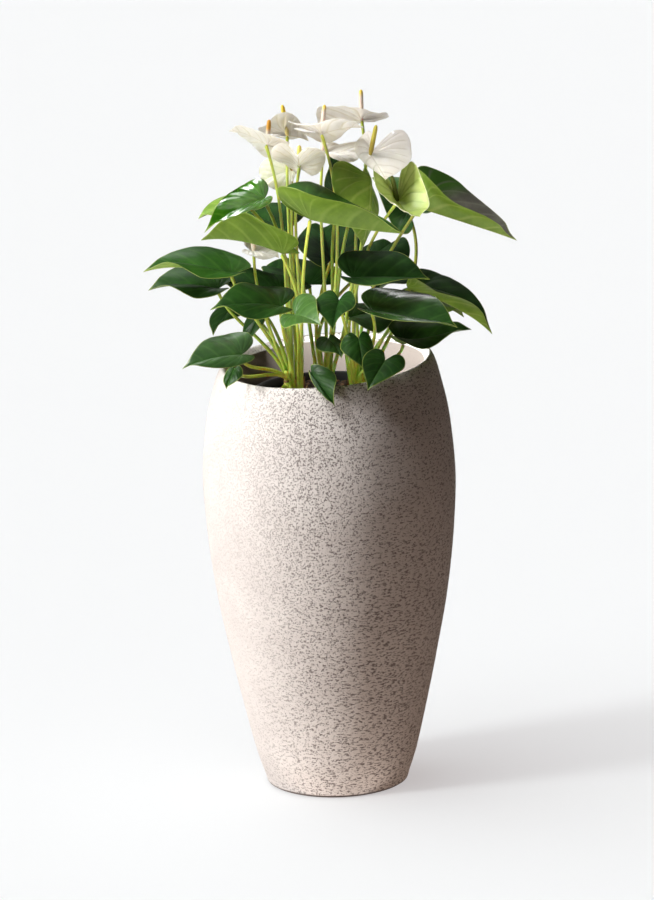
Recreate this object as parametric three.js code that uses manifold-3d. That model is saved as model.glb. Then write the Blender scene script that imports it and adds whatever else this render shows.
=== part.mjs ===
// A potted anthurium: a white-flowered plant in its nursery pot, lifted on a block inside a tall
// cement-finish planter with a narrow base, a high belly and a slightly slanted mouth.
// Units are millimetres, +Z is up, -Y is the front, and the planter stands on Z = 0 round the Z axis.

import * as THREE from 'three';
import { mergeVertices } from 'three/addons/utils/BufferGeometryUtils.js';
import Module from 'manifold-3d';

const wasm = await Module();
wasm.setup();

// Driving dimensions of the planter
const PLANTER_HEIGHT = 600;
const PLANTER_BASE_RADIUS = 91;
const PLANTER_BELLY_RADIUS = 174;
const PLANTER_LIP_RADIUS = 143;
const PLANTER_WALL = 12;
const PLANTER_FLOOR = 16;
const PLANTER_SIDES = 44;
const MOUTH_SLANT = 0.055; // rise of the rim for each mm to the right
const SLANT_START = 430; // the shell is upright below this height

// Driving dimensions of what the planter holds
const POT_RIM_RADIUS = 105;
const POT_BASE_RADIUS = 78;
const POT_HEIGHT = 185;
const POT_WALL = 2.6;
const POT_TOP = 556;
const POT_SIDES = 28;
const POT_FLOOR = 3.5;
const DRAIN_HOLES = { count: 4, radius: 7, ring: 45 };
const SOIL_DEPTH_BELOW_RIM = 12;
const SOIL_MOUND = 6;
const RISER_SIZE = 110;
const GAP = 0.35; // between pieces that touch
const SOIL_GAP = 0.8; // between the soil's side and the pot's wall, which has fewer facets to share
const SOIL_ROUGHNESS = 2.5; // the most that a lump of soil stands up or lies low

// Driving dimensions of the plant
const BLADE_THICKNESS = 0.8;
const PETIOLE_RADIUS = { low: 2.8, high: 2.1 };
const PEDUNCLE_RADIUS = { low: 2.7, high: 1.9 };
const STALK_SIDES = 5;
const STALK_STEPS = 7;
const SPADIX_RADIUS = 3.1;
const SPADIX_SIDES = 7;
const SPADIX_STEPS = 6;

// A seeded generator, so that every draw is the same each time
function seeded(seed) {
  let state = seed;
  return () => {
    state = (state * 1664525 + 1013904223) % 4294967296;
    return state / 4294967296;
  };
}

const vec = (p) => new THREE.Vector3(p[0], p[1], p[2]);

// Solids for cutting and joining
function toSolid(geometry) {
  const bare = geometry.clone();
  bare.deleteAttribute('normal');
  bare.deleteAttribute('uv');
  const welded = mergeVertices(bare, 1e-4);
  return new wasm.Manifold(new wasm.Mesh({
    numProp: 3,
    vertProperties: new Float32Array(welded.attributes.position.array),
    triVerts: new Uint32Array(welded.index.array),
  }));
}

function toGeometry(solid) {
  const mesh = solid.getMesh();
  const geometry = new THREE.BufferGeometry();
  geometry.setAttribute('position', new THREE.BufferAttribute(new Float32Array(mesh.vertProperties), 3));
  geometry.setIndex(new THREE.BufferAttribute(new Uint32Array(mesh.triVerts), 1));
  return geometry;
}

// A body turned round the Z axis from a profile of [radius, height] points, listed anticlockwise
function turned(profile, sides) {
  const points = profile.map(([radius, height]) => new THREE.Vector2(radius, height));
  const geometry = new THREE.LatheGeometry(points, sides);
  geometry.rotateX(Math.PI / 2);
  return geometry;
}

// Materials
const paint = (color, roughness) => new THREE.MeshStandardMaterial({ color, roughness, metalness: 0 });
const MATERIALS = {
  cement: paint(0xcfc6bd, 0.9),
  plastic: paint(0x1d1d1e, 0.5),
  soil: paint(0x2c221b, 1.0),
  foam: paint(0xe9e9e6, 0.9),
  stalk: paint(0x8fa344, 0.45),
  leaf: paint(0x2f6b25, 0.35),
  young_leaf: paint(0x7f9e40, 0.45),
  spathe: paint(0xefeade, 0.5),
  green_spathe: paint(0xa9bd68, 0.5),
  spadix: paint(0xe8cf7a, 0.6),
};

const model = new THREE.Group();

function addPiece(name, geometry, material) {
  const mesh = new THREE.Mesh(geometry, material);
  mesh.name = name;
  model.add(mesh);
}

// The planter's outer profile from the foot to the lip
const OUTER_PROFILE = [
  [PLANTER_BASE_RADIUS, 0],
  [97, 3],
  [100, 12],
  [111, 46],
  [128, 117],
  [143.5, 189],
  [157, 259],
  [167, 330],
  [172.5, 395],
  [PLANTER_BELLY_RADIUS, 430],
  [173.2, 458],
  [170.5, 490],
  [165.5, 530],
  [158, 562],
  [152.5, 583],
  [148, 594],
];

// The mouth has a thin flat lip and then a band that slopes inwards to the smooth bore
const MOUTH_PROFILE = [
  [PLANTER_LIP_RADIUS + 2, PLANTER_HEIGHT - 1.5],
  [PLANTER_LIP_RADIUS, PLANTER_HEIGHT],
  [PLANTER_LIP_RADIUS - 2.5, PLANTER_HEIGHT - 0.5],
  [PLANTER_LIP_RADIUS - 9, PLANTER_HEIGHT - 9],
];

function slanted(geometry) {
  const position = geometry.attributes.position;
  for (let i = 0; i < position.count; i += 1) {
    const rise = Math.max(0, (position.getZ(i) - SLANT_START) / (PLANTER_HEIGHT - SLANT_START));
    position.setZ(i, position.getZ(i) + MOUTH_SLANT * position.getX(i) * rise * rise);
  }
  return geometry;
}

function makePlanter() {
  const bore = OUTER_PROFILE.slice(3, -2)
    .map(([radius, height]) => [radius - PLANTER_WALL, height]).reverse();
  const foot = [[PLANTER_BASE_RADIUS - 8, PLANTER_FLOOR], [0, PLANTER_FLOOR]];
  const profile = [[0, 0], ...OUTER_PROFILE, ...MOUTH_PROFILE, ...bore, ...foot];
  addPiece('planter', slanted(turned(profile, PLANTER_SIDES)), MATERIALS.cement);
}

// The nursery pot: a tapered thin shell with a thick rolled rim and drain holes in its floor
const POT_BOTTOM = POT_TOP - POT_HEIGHT;
const RIM_BAND = 14;
const RIM_STEP = 3;

function makeNurseryPot() {
  const neck = POT_RIM_RADIUS - RIM_STEP;
  const profile = [
    [0, POT_BOTTOM],
    [POT_BASE_RADIUS - 3, POT_BOTTOM],
    [POT_BASE_RADIUS, POT_BOTTOM + 3],
    [neck - 1, POT_TOP - RIM_BAND],
    [POT_RIM_RADIUS, POT_TOP - RIM_BAND],
    [POT_RIM_RADIUS + 1, POT_TOP - 2],
    [POT_RIM_RADIUS - 1, POT_TOP],
    [neck - POT_WALL, POT_TOP - 1],
    [neck - POT_WALL, POT_TOP - RIM_BAND],
    [POT_BASE_RADIUS - POT_WALL, POT_BOTTOM + POT_FLOOR],
    [0, POT_BOTTOM + POT_FLOOR],
  ];
  let shell = toSolid(turned(profile, POT_SIDES));
  const { count, radius, ring } = DRAIN_HOLES;
  for (let i = 0; i < count; i += 1) {
    const angle = (i + 0.5) * 2 * Math.PI / count;
    const hole = new THREE.CylinderGeometry(radius, radius, 4 * POT_FLOOR, 10).rotateX(Math.PI / 2);
    hole.translate(ring * Math.cos(angle), ring * Math.sin(angle), POT_BOTTOM);
    shell = shell.subtract(toSolid(hole));
  }
  addPiece('nursery_pot', toGeometry(shell), MATERIALS.plastic);
}

// The block that lifts the nursery pot near the planter's mouth
function makeRiser() {
  const height = POT_BOTTOM - PLANTER_FLOOR - 2 * GAP;
  const block = new THREE.BoxGeometry(RISER_SIZE, RISER_SIZE, height, 3, 3, 4);
  block.translate(0, 0, PLANTER_FLOOR + GAP + height / 2);
  addPiece('riser', block, MATERIALS.foam);
}

// The three shoots stand in the soil: place of the crown, and its height above the soil
const SOIL_TOP = POT_TOP - SOIL_DEPTH_BELOW_RIM;
const CROWN_RADIUS = 11;
const CROWN_BURIED = 38;
const CROWNS = {
  left: { at: [-40, -22], height: 26 },
  middle: { at: [-4, 18], height: 32 },
  right: { at: [38, -14], height: 24 },
};

// The soil fills the nursery pot, mounded and rough on top, with a plain hole for each crown
function makeSoil() {
  const draw = seeded(11);
  const rings = 6;
  const slices = 22;
  const low = POT_BOTTOM + POT_FLOOR + GAP;
  const lowRadius = POT_BASE_RADIUS - POT_WALL - SOIL_GAP;
  const highRadius = POT_RIM_RADIUS - RIM_STEP - POT_WALL - SOIL_GAP;
  const profile = [[0, low], [lowRadius, low], [highRadius - SOIL_GAP, POT_TOP - RIM_BAND - 1]];
  for (let i = 0; i < rings; i += 1) {
    const share = 1 - i / rings;
    profile.push([highRadius * share, SOIL_TOP + SOIL_MOUND * (1 - share * share)]);
  }
  profile.push([0, SOIL_TOP + SOIL_MOUND]);
  const body = turned(profile, slices);
  body.deleteAttribute('normal');
  body.deleteAttribute('uv');
  const welded = mergeVertices(body, 1e-3);
  const position = welded.attributes.position;
  for (let i = 0; i < position.count; i += 1) {
    const rough = (2 * draw() - 1) * SOIL_ROUGHNESS;
    if (position.getZ(i) > SOIL_TOP + 0.5) {
      position.setZ(i, position.getZ(i) + rough);
    }
  }
  let soil = toSolid(welded);
  for (const crown of Object.values(CROWNS)) {
    const hole = new THREE.CylinderGeometry(CROWN_RADIUS + GAP, CROWN_RADIUS + GAP, 2 * CROWN_BURIED, 14);
    hole.rotateX(Math.PI / 2);
    hole.translate(crown.at[0], crown.at[1], SOIL_TOP);
    soil = soil.subtract(toSolid(hole));
  }
  addPiece('soil', toGeometry(soil), MATERIALS.soil);
}

// Half outlines of the blades, from the notch at the root round the lobe to the tip.
// Each point is [station along the midrib, distance out], with the midrib from 0 to 1.
const halfOutline = (points) => new THREE.CatmullRomCurve3(
  points.map(([station, out]) => new THREE.Vector3(station, out, 0)), false, 'centripetal');

const LEAF_OUTLINE = {
  curve: halfOutline([
    [0, 0], [-0.12, 0.05], [-0.29, 0.17], [-0.28, 0.33], [-0.06, 0.45],
    [0.2, 0.43], [0.48, 0.31], [0.74, 0.15], [0.9, 0.045], [1, 0],
  ]),
  widest: 0.45,
  widestStation: 0.02,
  heelStation: -0.29,
  lag: 0.45,
};

const SPATHE_OUTLINE = {
  curve: halfOutline([
    [0, 0], [-0.22, 0.07], [-0.56, 0.26], [-0.6, 0.52], [-0.34, 0.76],
    [0.1, 0.8], [0.5, 0.62], [0.8, 0.3], [0.93, 0.08], [1, 0],
  ]),
  widest: 0.8,
  widestStation: 0,
  heelStation: -0.6,
  lag: 0.35,
};

// The frame of a blade: its midrib, its upper side and the two half widths
function bladeFrame(blade) {
  const root = vec(blade.root);
  const along = vec(blade.tip).sub(root);
  const left = vec(blade.left);
  const right = vec(blade.right);
  const up = right.clone().sub(left).cross(along).normalize();
  return { root, along, left, right, up, length: along.length() };
}

// How a blade bends where its row gives no values of its own, as shares of the midrib's length:
// arch lifts the midrib, hook drops its last stretch, bow lifts each half between the midrib and the
// margin, and wave is the height of the margin's waves, which pass turns times along each half
const LEAF_FORM = { arch: 0.06, hook: 0.25, bow: 0.1, wave: 0.035, turns: 2.3, pinch: 0 };
const BLOOM_FORM = { arch: 0.05, hook: 0.25, bow: 0.12, wave: 0.06, turns: 2.5, pinch: 0 };

// pinch is the share by which the lobes behind the root are narrowed, in full beyond this station
const LOBE_PINCH_STATION = 0.5;

// The midrib arches upwards and its last stretch hooks down. Behind the root it runs to the heel,
// halfway between the ends of the two lobes, or straight on where the blade has no heel of its own.
function midribPoint(blade, frame, outline, station) {
  if (station < 0 && blade.heel) {
    return frame.root.clone().lerp(vec(blade.heel), station / outline.heelStation);
  }
  const arch = station > 0 ? 4 * station * (1 - station) : 1.2 * station;
  const past = Math.max(0, station - 0.7);
  const lift = blade.arch * arch - blade.hook * past * past;
  return frame.root.clone()
    .addScaledVector(frame.along, station)
    .addScaledVector(frame.up, lift * frame.length);
}

// One point of a half blade. turn runs along the margin from 0 at the notch to 1 at the tip,
// and out runs from 0 on the midrib to 1 on the margin, along a side vein.
function bladePoint(blade, frame, outline, side, turn, out) {
  const margin = outline.curve.getPoint(turn);
  const foot = Math.max(0, margin.x - outline.lag * margin.y);
  const station = foot + (margin.x - foot) * out;
  const lobe = Math.min(1, Math.max(0, -station / LOBE_PINCH_STATION));
  const share = margin.y * out / outline.widest * (1 - blade.pinch * lobe * lobe * (3 - 2 * lobe));
  const widest = midribPoint(blade, frame, outline, outline.widestStation);
  const across = (side > 0 ? frame.right : frame.left).clone().sub(widest);
  const face = across.clone().cross(frame.along).multiplyScalar(side).normalize();
  const bow = blade.bow * 4 * share * (1 - share) * across.length();
  const ripple = blade.wave * Math.sin(2 * Math.PI * blade.turns * turn + blade.phase + side);
  const fade = out * out * Math.sin(Math.PI * Math.min(1, turn * 1.02));
  return midribPoint(blade, frame, outline, station)
    .addScaledVector(across, share)
    .addScaledVector(face, bow + ripple * fade * frame.length);
}

// A thin solid from a sheet of triangles, alike on both faces and closed round its edge
function thickened(positions, triangles) {
  const sheet = new THREE.BufferGeometry();
  sheet.setAttribute('position', new THREE.Float32BufferAttribute(positions, 3));
  sheet.setIndex(triangles);
  const welded = mergeVertices(sheet, 1e-3);
  welded.computeVertexNormals();
  const { position, normal } = welded.attributes;
  const count = position.count;
  const points = [];
  for (const side of [0.5, -0.5]) {
    for (let i = 0; i < count; i += 1) {
      const point = new THREE.Vector3().fromBufferAttribute(position, i);
      const offset = new THREE.Vector3().fromBufferAttribute(normal, i);
      point.addScaledVector(offset, side * BLADE_THICKNESS);
      points.push(point.x, point.y, point.z);
    }
  }
  const faces = [];
  const edges = new Map();
  const index = welded.index.array;
  for (let i = 0; i < index.length; i += 3) {
    const [a, b, c] = index.subarray(i, i + 3);
    if (a === b || b === c || c === a) {
      continue;
    }
    faces.push(a, b, c, count + a, count + c, count + b);
    for (const [from, to] of [[a, b], [b, c], [c, a]]) {
      if (!edges.delete(`${to} ${from}`)) {
        edges.set(`${from} ${to}`, [from, to]);
      }
    }
  }
  for (const [from, to] of edges.values()) {
    faces.push(from, count + from, to, to, count + from, count + to);
  }
  const solid = new THREE.BufferGeometry();
  solid.setAttribute('position', new THREE.Float32BufferAttribute(points, 3));
  solid.setIndex(faces);
  return solid;
}

const BLADE_TURNS = [0, 0.1, 0.22, 0.34, 0.45, 0.56, 0.67, 0.78, 0.89, 1];
const BLADE_OUTS = [0, 0.55, 1];

function bladeGeometry(blade, outline) {
  const frame = bladeFrame(blade);
  const positions = [];
  const triangles = [];
  for (const side of [1, -1]) {
    const first = positions.length / 3;
    const row = BLADE_OUTS.length;
    for (const turn of BLADE_TURNS) {
      for (const out of BLADE_OUTS) {
        positions.push(...bladePoint(blade, frame, outline, side, turn, out).toArray());
      }
    }
    for (let i = 0; i < BLADE_TURNS.length - 1; i += 1) {
      for (let j = 0; j < row - 1; j += 1) {
        const a = first + i * row + j;
        const [b, c, d] = [a + 1, a + row + 1, a + row];
        const corners = side > 0 ? [a, b, c, a, c, d] : [a, c, b, a, d, c];
        triangles.push(...corners);
      }
    }
  }
  return thickened(positions, triangles);
}

// A closed tube along a curve. The radius goes from low to high, or is a function of the share of
// the length.
function stalkGeometry(curve, radius, steps = STALK_STEPS, sides = STALK_SIDES) {
  const points = [];
  const faces = [];
  const frames = curve.computeFrenetFrames(steps, false);
  for (let i = 0; i <= steps; i += 1) {
    const centre = curve.getPointAt(i / steps);
    const reach = typeof radius === 'function'
      ? radius(i / steps)
      : radius.low + (radius.high - radius.low) * i / steps;
    for (let k = 0; k < sides; k += 1) {
      const angle = 2 * Math.PI * k / sides;
      const point = centre.clone()
        .addScaledVector(frames.normals[i], reach * Math.cos(angle))
        .addScaledVector(frames.binormals[i], reach * Math.sin(angle));
      points.push(point.x, point.y, point.z);
    }
  }
  for (let i = 0; i < steps; i += 1) {
    for (let k = 0; k < sides; k += 1) {
      const next = (k + 1) % sides;
      const [a, b, c, d] = [i * sides + k, i * sides + next, (i + 1) * sides + next, (i + 1) * sides + k];
      faces.push(a, b, c, a, c, d);
    }
  }
  const last = steps * sides;
  for (let k = 1; k < sides - 1; k += 1) {
    faces.push(0, k + 1, k, last, last + k, last + k + 1);
  }
  const tube = new THREE.BufferGeometry();
  tube.setAttribute('position', new THREE.Float32BufferAttribute(points, 3));
  tube.setIndex(faces);
  return tube;
}

// Leaves. root is where the stalk meets the blade, tip is the point of the blade, and left and
// right are the widest places of its halves, seen from above with the tip ahead.
const LEAVES = [
  { name: 'leaf_glossy_left', crown: 'left', root: [-78, -42, 840], tip: [-160, -115, 816],
    left: [-86, -82, 834], right: [-102, -10, 855], heel: [-62, -28, 844], bend: [15, 5] },
  { name: 'leaf_pale_tip_left', crown: 'left', young: true, root: [-96, 15, 813], tip: [-170, 30, 798],
    left: [-126, -8, 802], right: [-118, 60, 817], heel: [-78, 10, 820], bend: [40, 0] },
  { name: 'leaf_wavy_top', crown: 'left', young: true, root: [-16, -110, 827], tip: [111, -95, 800],
    left: [-12, -45, 857], right: [-22, -142, 876], arch: -0.02, hook: 0, wave: 0.05, phase: 2.2 },
  { name: 'leaf_upright_dark', crown: 'middle', root: [28, 60, 805], tip: [11, 62, 878],
    left: [6, 45, 835], right: [44, 75, 835], bend: [9, 0] },
  { name: 'leaf_upright_light', crown: 'middle', young: true, root: [68, -28, 861], tip: [53, -55, 769],
    left: [81, -8, 838], right: [24, -42, 857], heel: [54, -22, 887], hook: 0 },
  { name: 'leaf_behind_funnel', crown: 'right', root: [118, 83, 786], tip: [70, 143, 821],
    left: [100, 60, 768], right: [150, 120, 800], bend: [48, -15] },
  { name: 'leaf_top_right', crown: 'right', root: [132, 30, 804], tip: [266, 10, 760],
    left: [182, 62, 810], right: [155, 5, 817], heel: [116, 33, 846], bend: [-23, 7],
    arch: 0, hook: 0.1, wave: 0.015, pinch: 0.7 },
  { name: 'leaf_olive_left', crown: 'left', young: true, root: [-55, -70, 770], tip: [-165, -60, 792],
    left: [-85, -105, 827], right: [-80, -25, 778], bend: [24, 0] },
  { name: 'leaf_back_left_high', crown: 'middle', root: [-48, 35, 772], tip: [-110, 150, 770],
    left: [-90, 50, 768], right: [-15, 85, 790], heel: [-42, 22, 775] },
  { name: 'leaf_far_left', crown: 'left', root: [-125, -40, 735], tip: [-245, -60, 750],
    left: [-170, -75, 745], right: [-150, 15, 755], bend: [3, -9] },
  { name: 'leaf_second_left', crown: 'left', root: [-145, 0, 705], tip: [-240, -10, 710],
    left: [-180, -35, 705], right: [-170, 55, 722] },
  { name: 'leaf_centre_left', crown: 'left', root: [-60, -85, 700], tip: [-155, -125, 710],
    left: [-90, -125, 693], right: [-85, -40, 720] },
  { name: 'leaf_behind_centre_left', crown: 'left', root: [-60, 10, 695], tip: [-145, 35, 702],
    left: [-95, -20, 690], right: [-75, 60, 712] },
  { name: 'leaf_small_front', crown: 'left', young: true, root: [-40, -150, 705], tip: [-5, -190, 700],
    left: [-18, -130, 727], right: [-55, -175, 695] },
  { name: 'leaf_centre_heart', crown: 'right', root: [20, -120, 715], tip: [10, -185, 690],
    left: [42, -145, 718], right: [-15, -130, 715], bend: [3, 9] },
  { name: 'leaf_curved_tip', crown: 'right', root: [40, -80, 735], tip: [145, -70, 730],
    left: [65, -20, 760], right: [75, -120, 735], bend: [-14, -19], arch: 0 },
  { name: 'leaf_back_right_low', crown: 'right', root: [72, 22, 688], tip: [115, 150, 680],
    left: [48, 62, 698], right: [120, 48, 694], heel: [66, 8, 692] },
  { name: 'leaf_right_drooping', crown: 'right', root: [115, 10, 695], tip: [230, -10, 635],
    left: [155, 60, 703], right: [148, -40, 707], heel: [98, 14, 704], bend: [9, 0],
    arch: 0.05, wave: 0.01 },
  { name: 'leaf_right_pale', crown: 'right', young: true, root: [115, 55, 668], tip: [192, 62, 640],
    left: [150, 100, 665], right: [160, 20, 660] },
  { name: 'leaf_right_glossy', crown: 'right', root: [65, -110, 695], tip: [180, -120, 675],
    left: [115, -55, 710], right: [100, -145, 690], bend: [16, 0], arch: 0, wave: 0.015 },
  { name: 'leaf_lower_right', crown: 'right', root: [105, -60, 635], tip: [200, -20, 645],
    left: [125, 0, 641], right: [127, -92, 632], heel: [79, -72, 648], arch: 0 },
  { name: 'leaf_under_glossy', crown: 'right', root: [35, -60, 675], tip: [95, 20, 655],
    left: [40, -10, 680], right: [75, -75, 660] },
  { name: 'leaf_rim_right', crown: 'right', root: [80, -125, 630], tip: [55, -165, 600],
    left: [105, -130, 620], right: [52, -120, 635] },
  { name: 'leaf_dark_by_rim', crown: 'right', root: [45, -80, 650], tip: [50, -120, 618],
    left: [65, -85, 642], right: [20, -90, 640] },
  { name: 'leaf_rim_front', crown: 'middle', root: [-20, -130, 615], tip: [10, -170, 580],
    left: [10, -150, 620], right: [-12, -155, 598] },
  { name: 'leaf_lower_left', crown: 'left', root: [-115, -110, 640], tip: [-195, -150, 635],
    left: [-130, -135, 628], right: [-135, -70, 660] },
  { name: 'leaf_under_lower_left', crown: 'left', root: [-125, -115, 622], tip: [-137, -137, 600],
    left: [-115, -128, 614], right: [-138, -118, 614] },
  { name: 'leaf_curled_left', crown: 'left', root: [-110, 40, 680], tip: [-155, 10, 637],
    left: [-118, 5, 665], right: [-145, 55, 662] },
  { name: 'leaf_hanging_left', crown: 'left', root: [-85, -20, 675], tip: [-105, -30, 635],
    left: [-85, -32, 660], right: [-108, -8, 660] },
  { name: 'leaf_back_right_high', crown: 'middle', root: [60, 74, 711], tip: [100, 190, 713],
    left: [38, 106, 715], right: [114, 98, 713], heel: [52, 60, 717], bend: [-40, 29] },
  { name: 'leaf_back_high', crown: 'middle', root: [10, 70, 722], tip: [0, 200, 738],
    left: [-35, 95, 735], right: [55, 95, 735], bend: [-19, -26] },
  { name: 'leaf_back_low', crown: 'middle', root: [-20, 65, 690], tip: [-85, 170, 690],
    left: [-70, 70, 690], right: [15, 110, 700] },
  { name: 'leaf_dark_low', crown: 'middle', root: [5, -20, 635], tip: [22, -55, 617],
    left: [25, -20, 628], right: [-12, -45, 628] },
];

// Blooms. The points mean what they do on a leaf, and top is the free end of the spadix.
const BLOOMS = [
  { name: 'one', crown: 'left', root: [-72, -30, 913], tip: [-122, -40, 939], left: [-75, -68, 936],
    right: [-74, 8, 887], heel: [-41, -25, 903], top: [-68, -30, 948], bend: [13, 9],
    hook: 0.6, wave: 0.02, bow: 0.05 },
  { name: 'two', crown: 'left', root: [-44, 50, 905], tip: [-15, 52, 897], left: [-44, 80, 895],
    right: [-48, 25, 946], heel: [-82, 45, 905], top: [-50, 45, 950], pinch: 0.6,
    bend: [0, -9] },
  { name: 'three', crown: 'middle', root: [3, -40, 928], tip: [60, -45, 938], left: [14, 0, 907],
    right: [1, -78, 948], heel: [-39, -35, 934], top: [8, -40, 969], bend: [24, 0] },
  { name: 'four', crown: 'middle', root: [58, 48, 924], tip: [-3, 35, 923], left: [26, 12, 956],
    right: [35, 85, 909], heel: [97, 58, 925], bow: 0.05, pinch: 0.8, top: [58, 46, 968], bend: [32, 0] },
  { name: 'five', crown: 'right', root: [68, -38, 897], tip: [88, -66, 869], left: [118, -22, 892],
    right: [43, -26, 898], heel: [79, -14, 921], bow: 0.05, top: [77, -54, 942], bend: [-10, 30] },
  { name: 'six', crown: 'middle', root: [4, 30, 884], tip: [56, 25, 881], left: [33, 62, 886],
    right: [27, -5, 876], heel: [-3, 35, 887], top: [6, 30, 920] },
  { name: 'seven', crown: 'left', root: [-29, -45, 884], tip: [-31, -88, 912], left: [5, -62, 907],
    right: [-67, -62, 912], heel: [-22, -2, 852], top: [-28, -42, 914] },
  { name: 'eight', crown: 'left', green: true, root: [-39, 50, 856], tip: [-82, 32, 846],
    left: [-50, 16, 838], right: [-66, 75, 866], heel: [-28, 55, 858], top: [-44, 50, 885],
    bend: [-3, -9] },
  { name: 'nine', crown: 'right', green: true, root: [103, -38, 831], tip: [133, -80, 820],
    left: [136, -46, 850], right: [72, -62, 857], heel: [98, -22, 872], bow: -0.1, arch: -0.1,
    top: [96, -50, 870], bend: [-32, 24] },
  { name: 'ten', crown: 'left', root: [-94, 8, 753], tip: [-60, 0, 747], left: [-83, 36, 758],
    right: [-89, -18, 750], heel: [-113, 10, 757], top: [-97, 5, 780], bend: [-12, -38] },
];

// A stalk leaves its crown upwards, leans out and meets the underside of its blade. Where it has to
// pass a neighbour, bend moves its lower half sideways, in X and Y, and sway its upper half.
const STALK_CLEARANCE = 3;

function stalkCurve(blade, order, total) {
  const crown = CROWNS[blade.crown];
  const frame = bladeFrame(blade);
  const angle = Math.atan2(frame.root.y - crown.at[1], frame.root.x - crown.at[0]) + 0.15 * (order % 3 - 1);
  const outwards = new THREE.Vector3(Math.cos(angle), Math.sin(angle), 0);
  const ring = CROWN_RADIUS - 4;
  const level = SOIL_TOP + (crown.height - 6) * (0.3 + 0.7 * order / total);
  const start = new THREE.Vector3(crown.at[0], crown.at[1], level).addScaledVector(outwards, ring);
  const end = frame.root.clone().addScaledVector(frame.up, -STALK_CLEARANCE);
  const reach = end.distanceTo(start);
  const bend = new THREE.Vector3(...(blade.bend ?? [0, 0]), 0);
  const sway = new THREE.Vector3(...(blade.sway ?? blade.bend ?? [0, 0]), 0);
  const rise = start.clone().addScaledVector(outwards, reach * 0.06).add(bend);
  rise.z += reach * 0.42;
  const meet = end.clone()
    .addScaledVector(frame.up, -reach * 0.12)
    .addScaledVector(new THREE.Vector3(0, 0, 1), -reach * 0.16)
    .addScaledVector(outwards, -reach * 0.08)
    .add(sway);
  return new THREE.CubicBezierCurve3(start, rise, meet, end);
}

function crownGeometry(crown) {
  const top = SOIL_TOP + crown.height;
  const low = SOIL_TOP - CROWN_BURIED + 2 * GAP;
  const profile = [[0, low], [CROWN_RADIUS - 2, low], [CROWN_RADIUS, low + 4], [CROWN_RADIUS, SOIL_TOP + 6],
    [CROWN_RADIUS - 3, top - 4], [CROWN_RADIUS - 7, top], [0, top]];
  return turned(profile, 12).translate(crown.at[0], crown.at[1], 0);
}

function makeShoots() {
  for (const [side, crown] of Object.entries(CROWNS)) {
    let shoot = toSolid(crownGeometry(crown));
    const leaves = LEAVES.filter((leaf) => leaf.crown === side);
    leaves.forEach((leaf, order) => {
      shoot = shoot.add(toSolid(stalkGeometry(stalkCurve(leaf, order, leaves.length), PETIOLE_RADIUS)));
    });
    const blooms = BLOOMS.filter((bloom) => bloom.crown === side);
    blooms.forEach((bloom, order) => {
      shoot = shoot.add(toSolid(stalkGeometry(stalkCurve(bloom, order, blooms.length), PEDUNCLE_RADIUS)));
    });
    addPiece(`shoot_${side}`, toGeometry(shoot), MATERIALS.stalk);
  }
}

function makeLeaves() {
  const draw = seeded(7);
  for (const leaf of LEAVES) {
    const blade = { ...LEAF_FORM, phase: 2 * Math.PI * draw(), ...leaf };
    const material = leaf.young ? MATERIALS.young_leaf : MATERIALS.leaf;
    addPiece(leaf.name, bladeGeometry(blade, LEAF_OUTLINE), material);
  }
}

// The spadix stands on the spathe's root, slim at the foot, and tapers to a round end
const SPADIX_LIFT = 3;

function spadixRadius(share) {
  const foot = Math.min(1, 0.45 + 2.5 * share);
  const end = Math.sqrt(Math.max(0.06, 1 - share ** 6));
  return SPADIX_RADIUS * foot * end * (1 - 0.3 * share);
}

function makeBlooms() {
  const draw = seeded(23);
  for (const bloom of BLOOMS) {
    const blade = { ...BLOOM_FORM, phase: 2 * Math.PI * draw(), ...bloom };
    const frame = bladeFrame(blade);
    const finish = bloom.green ? MATERIALS.green_spathe : MATERIALS.spathe;
    addPiece(`spathe_${bloom.name}`, bladeGeometry(blade, SPATHE_OUTLINE), finish);
    const foot = frame.root.clone().addScaledVector(frame.up, SPADIX_LIFT);
    const top = vec(bloom.top);
    const middle = foot.clone().lerp(top, 0.5).addScaledVector(frame.up, 2);
    const curve = new THREE.QuadraticBezierCurve3(foot, middle, top);
    const spadix = stalkGeometry(curve, spadixRadius, SPADIX_STEPS, SPADIX_SIDES);
    addPiece(`spadix_${bloom.name}`, spadix, MATERIALS.spadix);
  }
}

makePlanter();
makeNurseryPot();
makeRiser();
makeSoil();
makeShoots();
makeLeaves();
makeBlooms();

export default model;
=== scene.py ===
"""The looks of a potted anthurium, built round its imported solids.

Shapes are worked out in millimetres, in the row frame, by the same formulas as the solids but on
finer grids, and are scaled to metres when a mesh is made. Every piece stands for one solid.
"""

import math

import bpy
import numpy as np
from mathutils import Matrix, Vector, noise


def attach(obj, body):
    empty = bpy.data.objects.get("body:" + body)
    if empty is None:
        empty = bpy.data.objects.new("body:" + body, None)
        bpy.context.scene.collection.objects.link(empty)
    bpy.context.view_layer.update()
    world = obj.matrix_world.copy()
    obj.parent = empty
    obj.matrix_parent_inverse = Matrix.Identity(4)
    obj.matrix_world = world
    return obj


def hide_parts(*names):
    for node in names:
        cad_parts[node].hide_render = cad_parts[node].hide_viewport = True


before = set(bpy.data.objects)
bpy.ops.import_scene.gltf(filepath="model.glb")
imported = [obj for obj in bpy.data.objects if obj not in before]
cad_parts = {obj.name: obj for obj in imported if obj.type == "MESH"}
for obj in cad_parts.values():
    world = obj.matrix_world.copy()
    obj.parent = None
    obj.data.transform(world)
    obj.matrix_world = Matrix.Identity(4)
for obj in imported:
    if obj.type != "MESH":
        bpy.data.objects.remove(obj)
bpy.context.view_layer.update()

MM = 0.001
TAU = 2 * math.pi


# Small tools

def seeded(seed):
    """A generator of draws from 0 to 1, the same each run and the same as the solids use."""
    state = seed
    while True:
        state = (state * 1664525 + 1013904223) % 4294967296
        yield state / 4294967296


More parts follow.
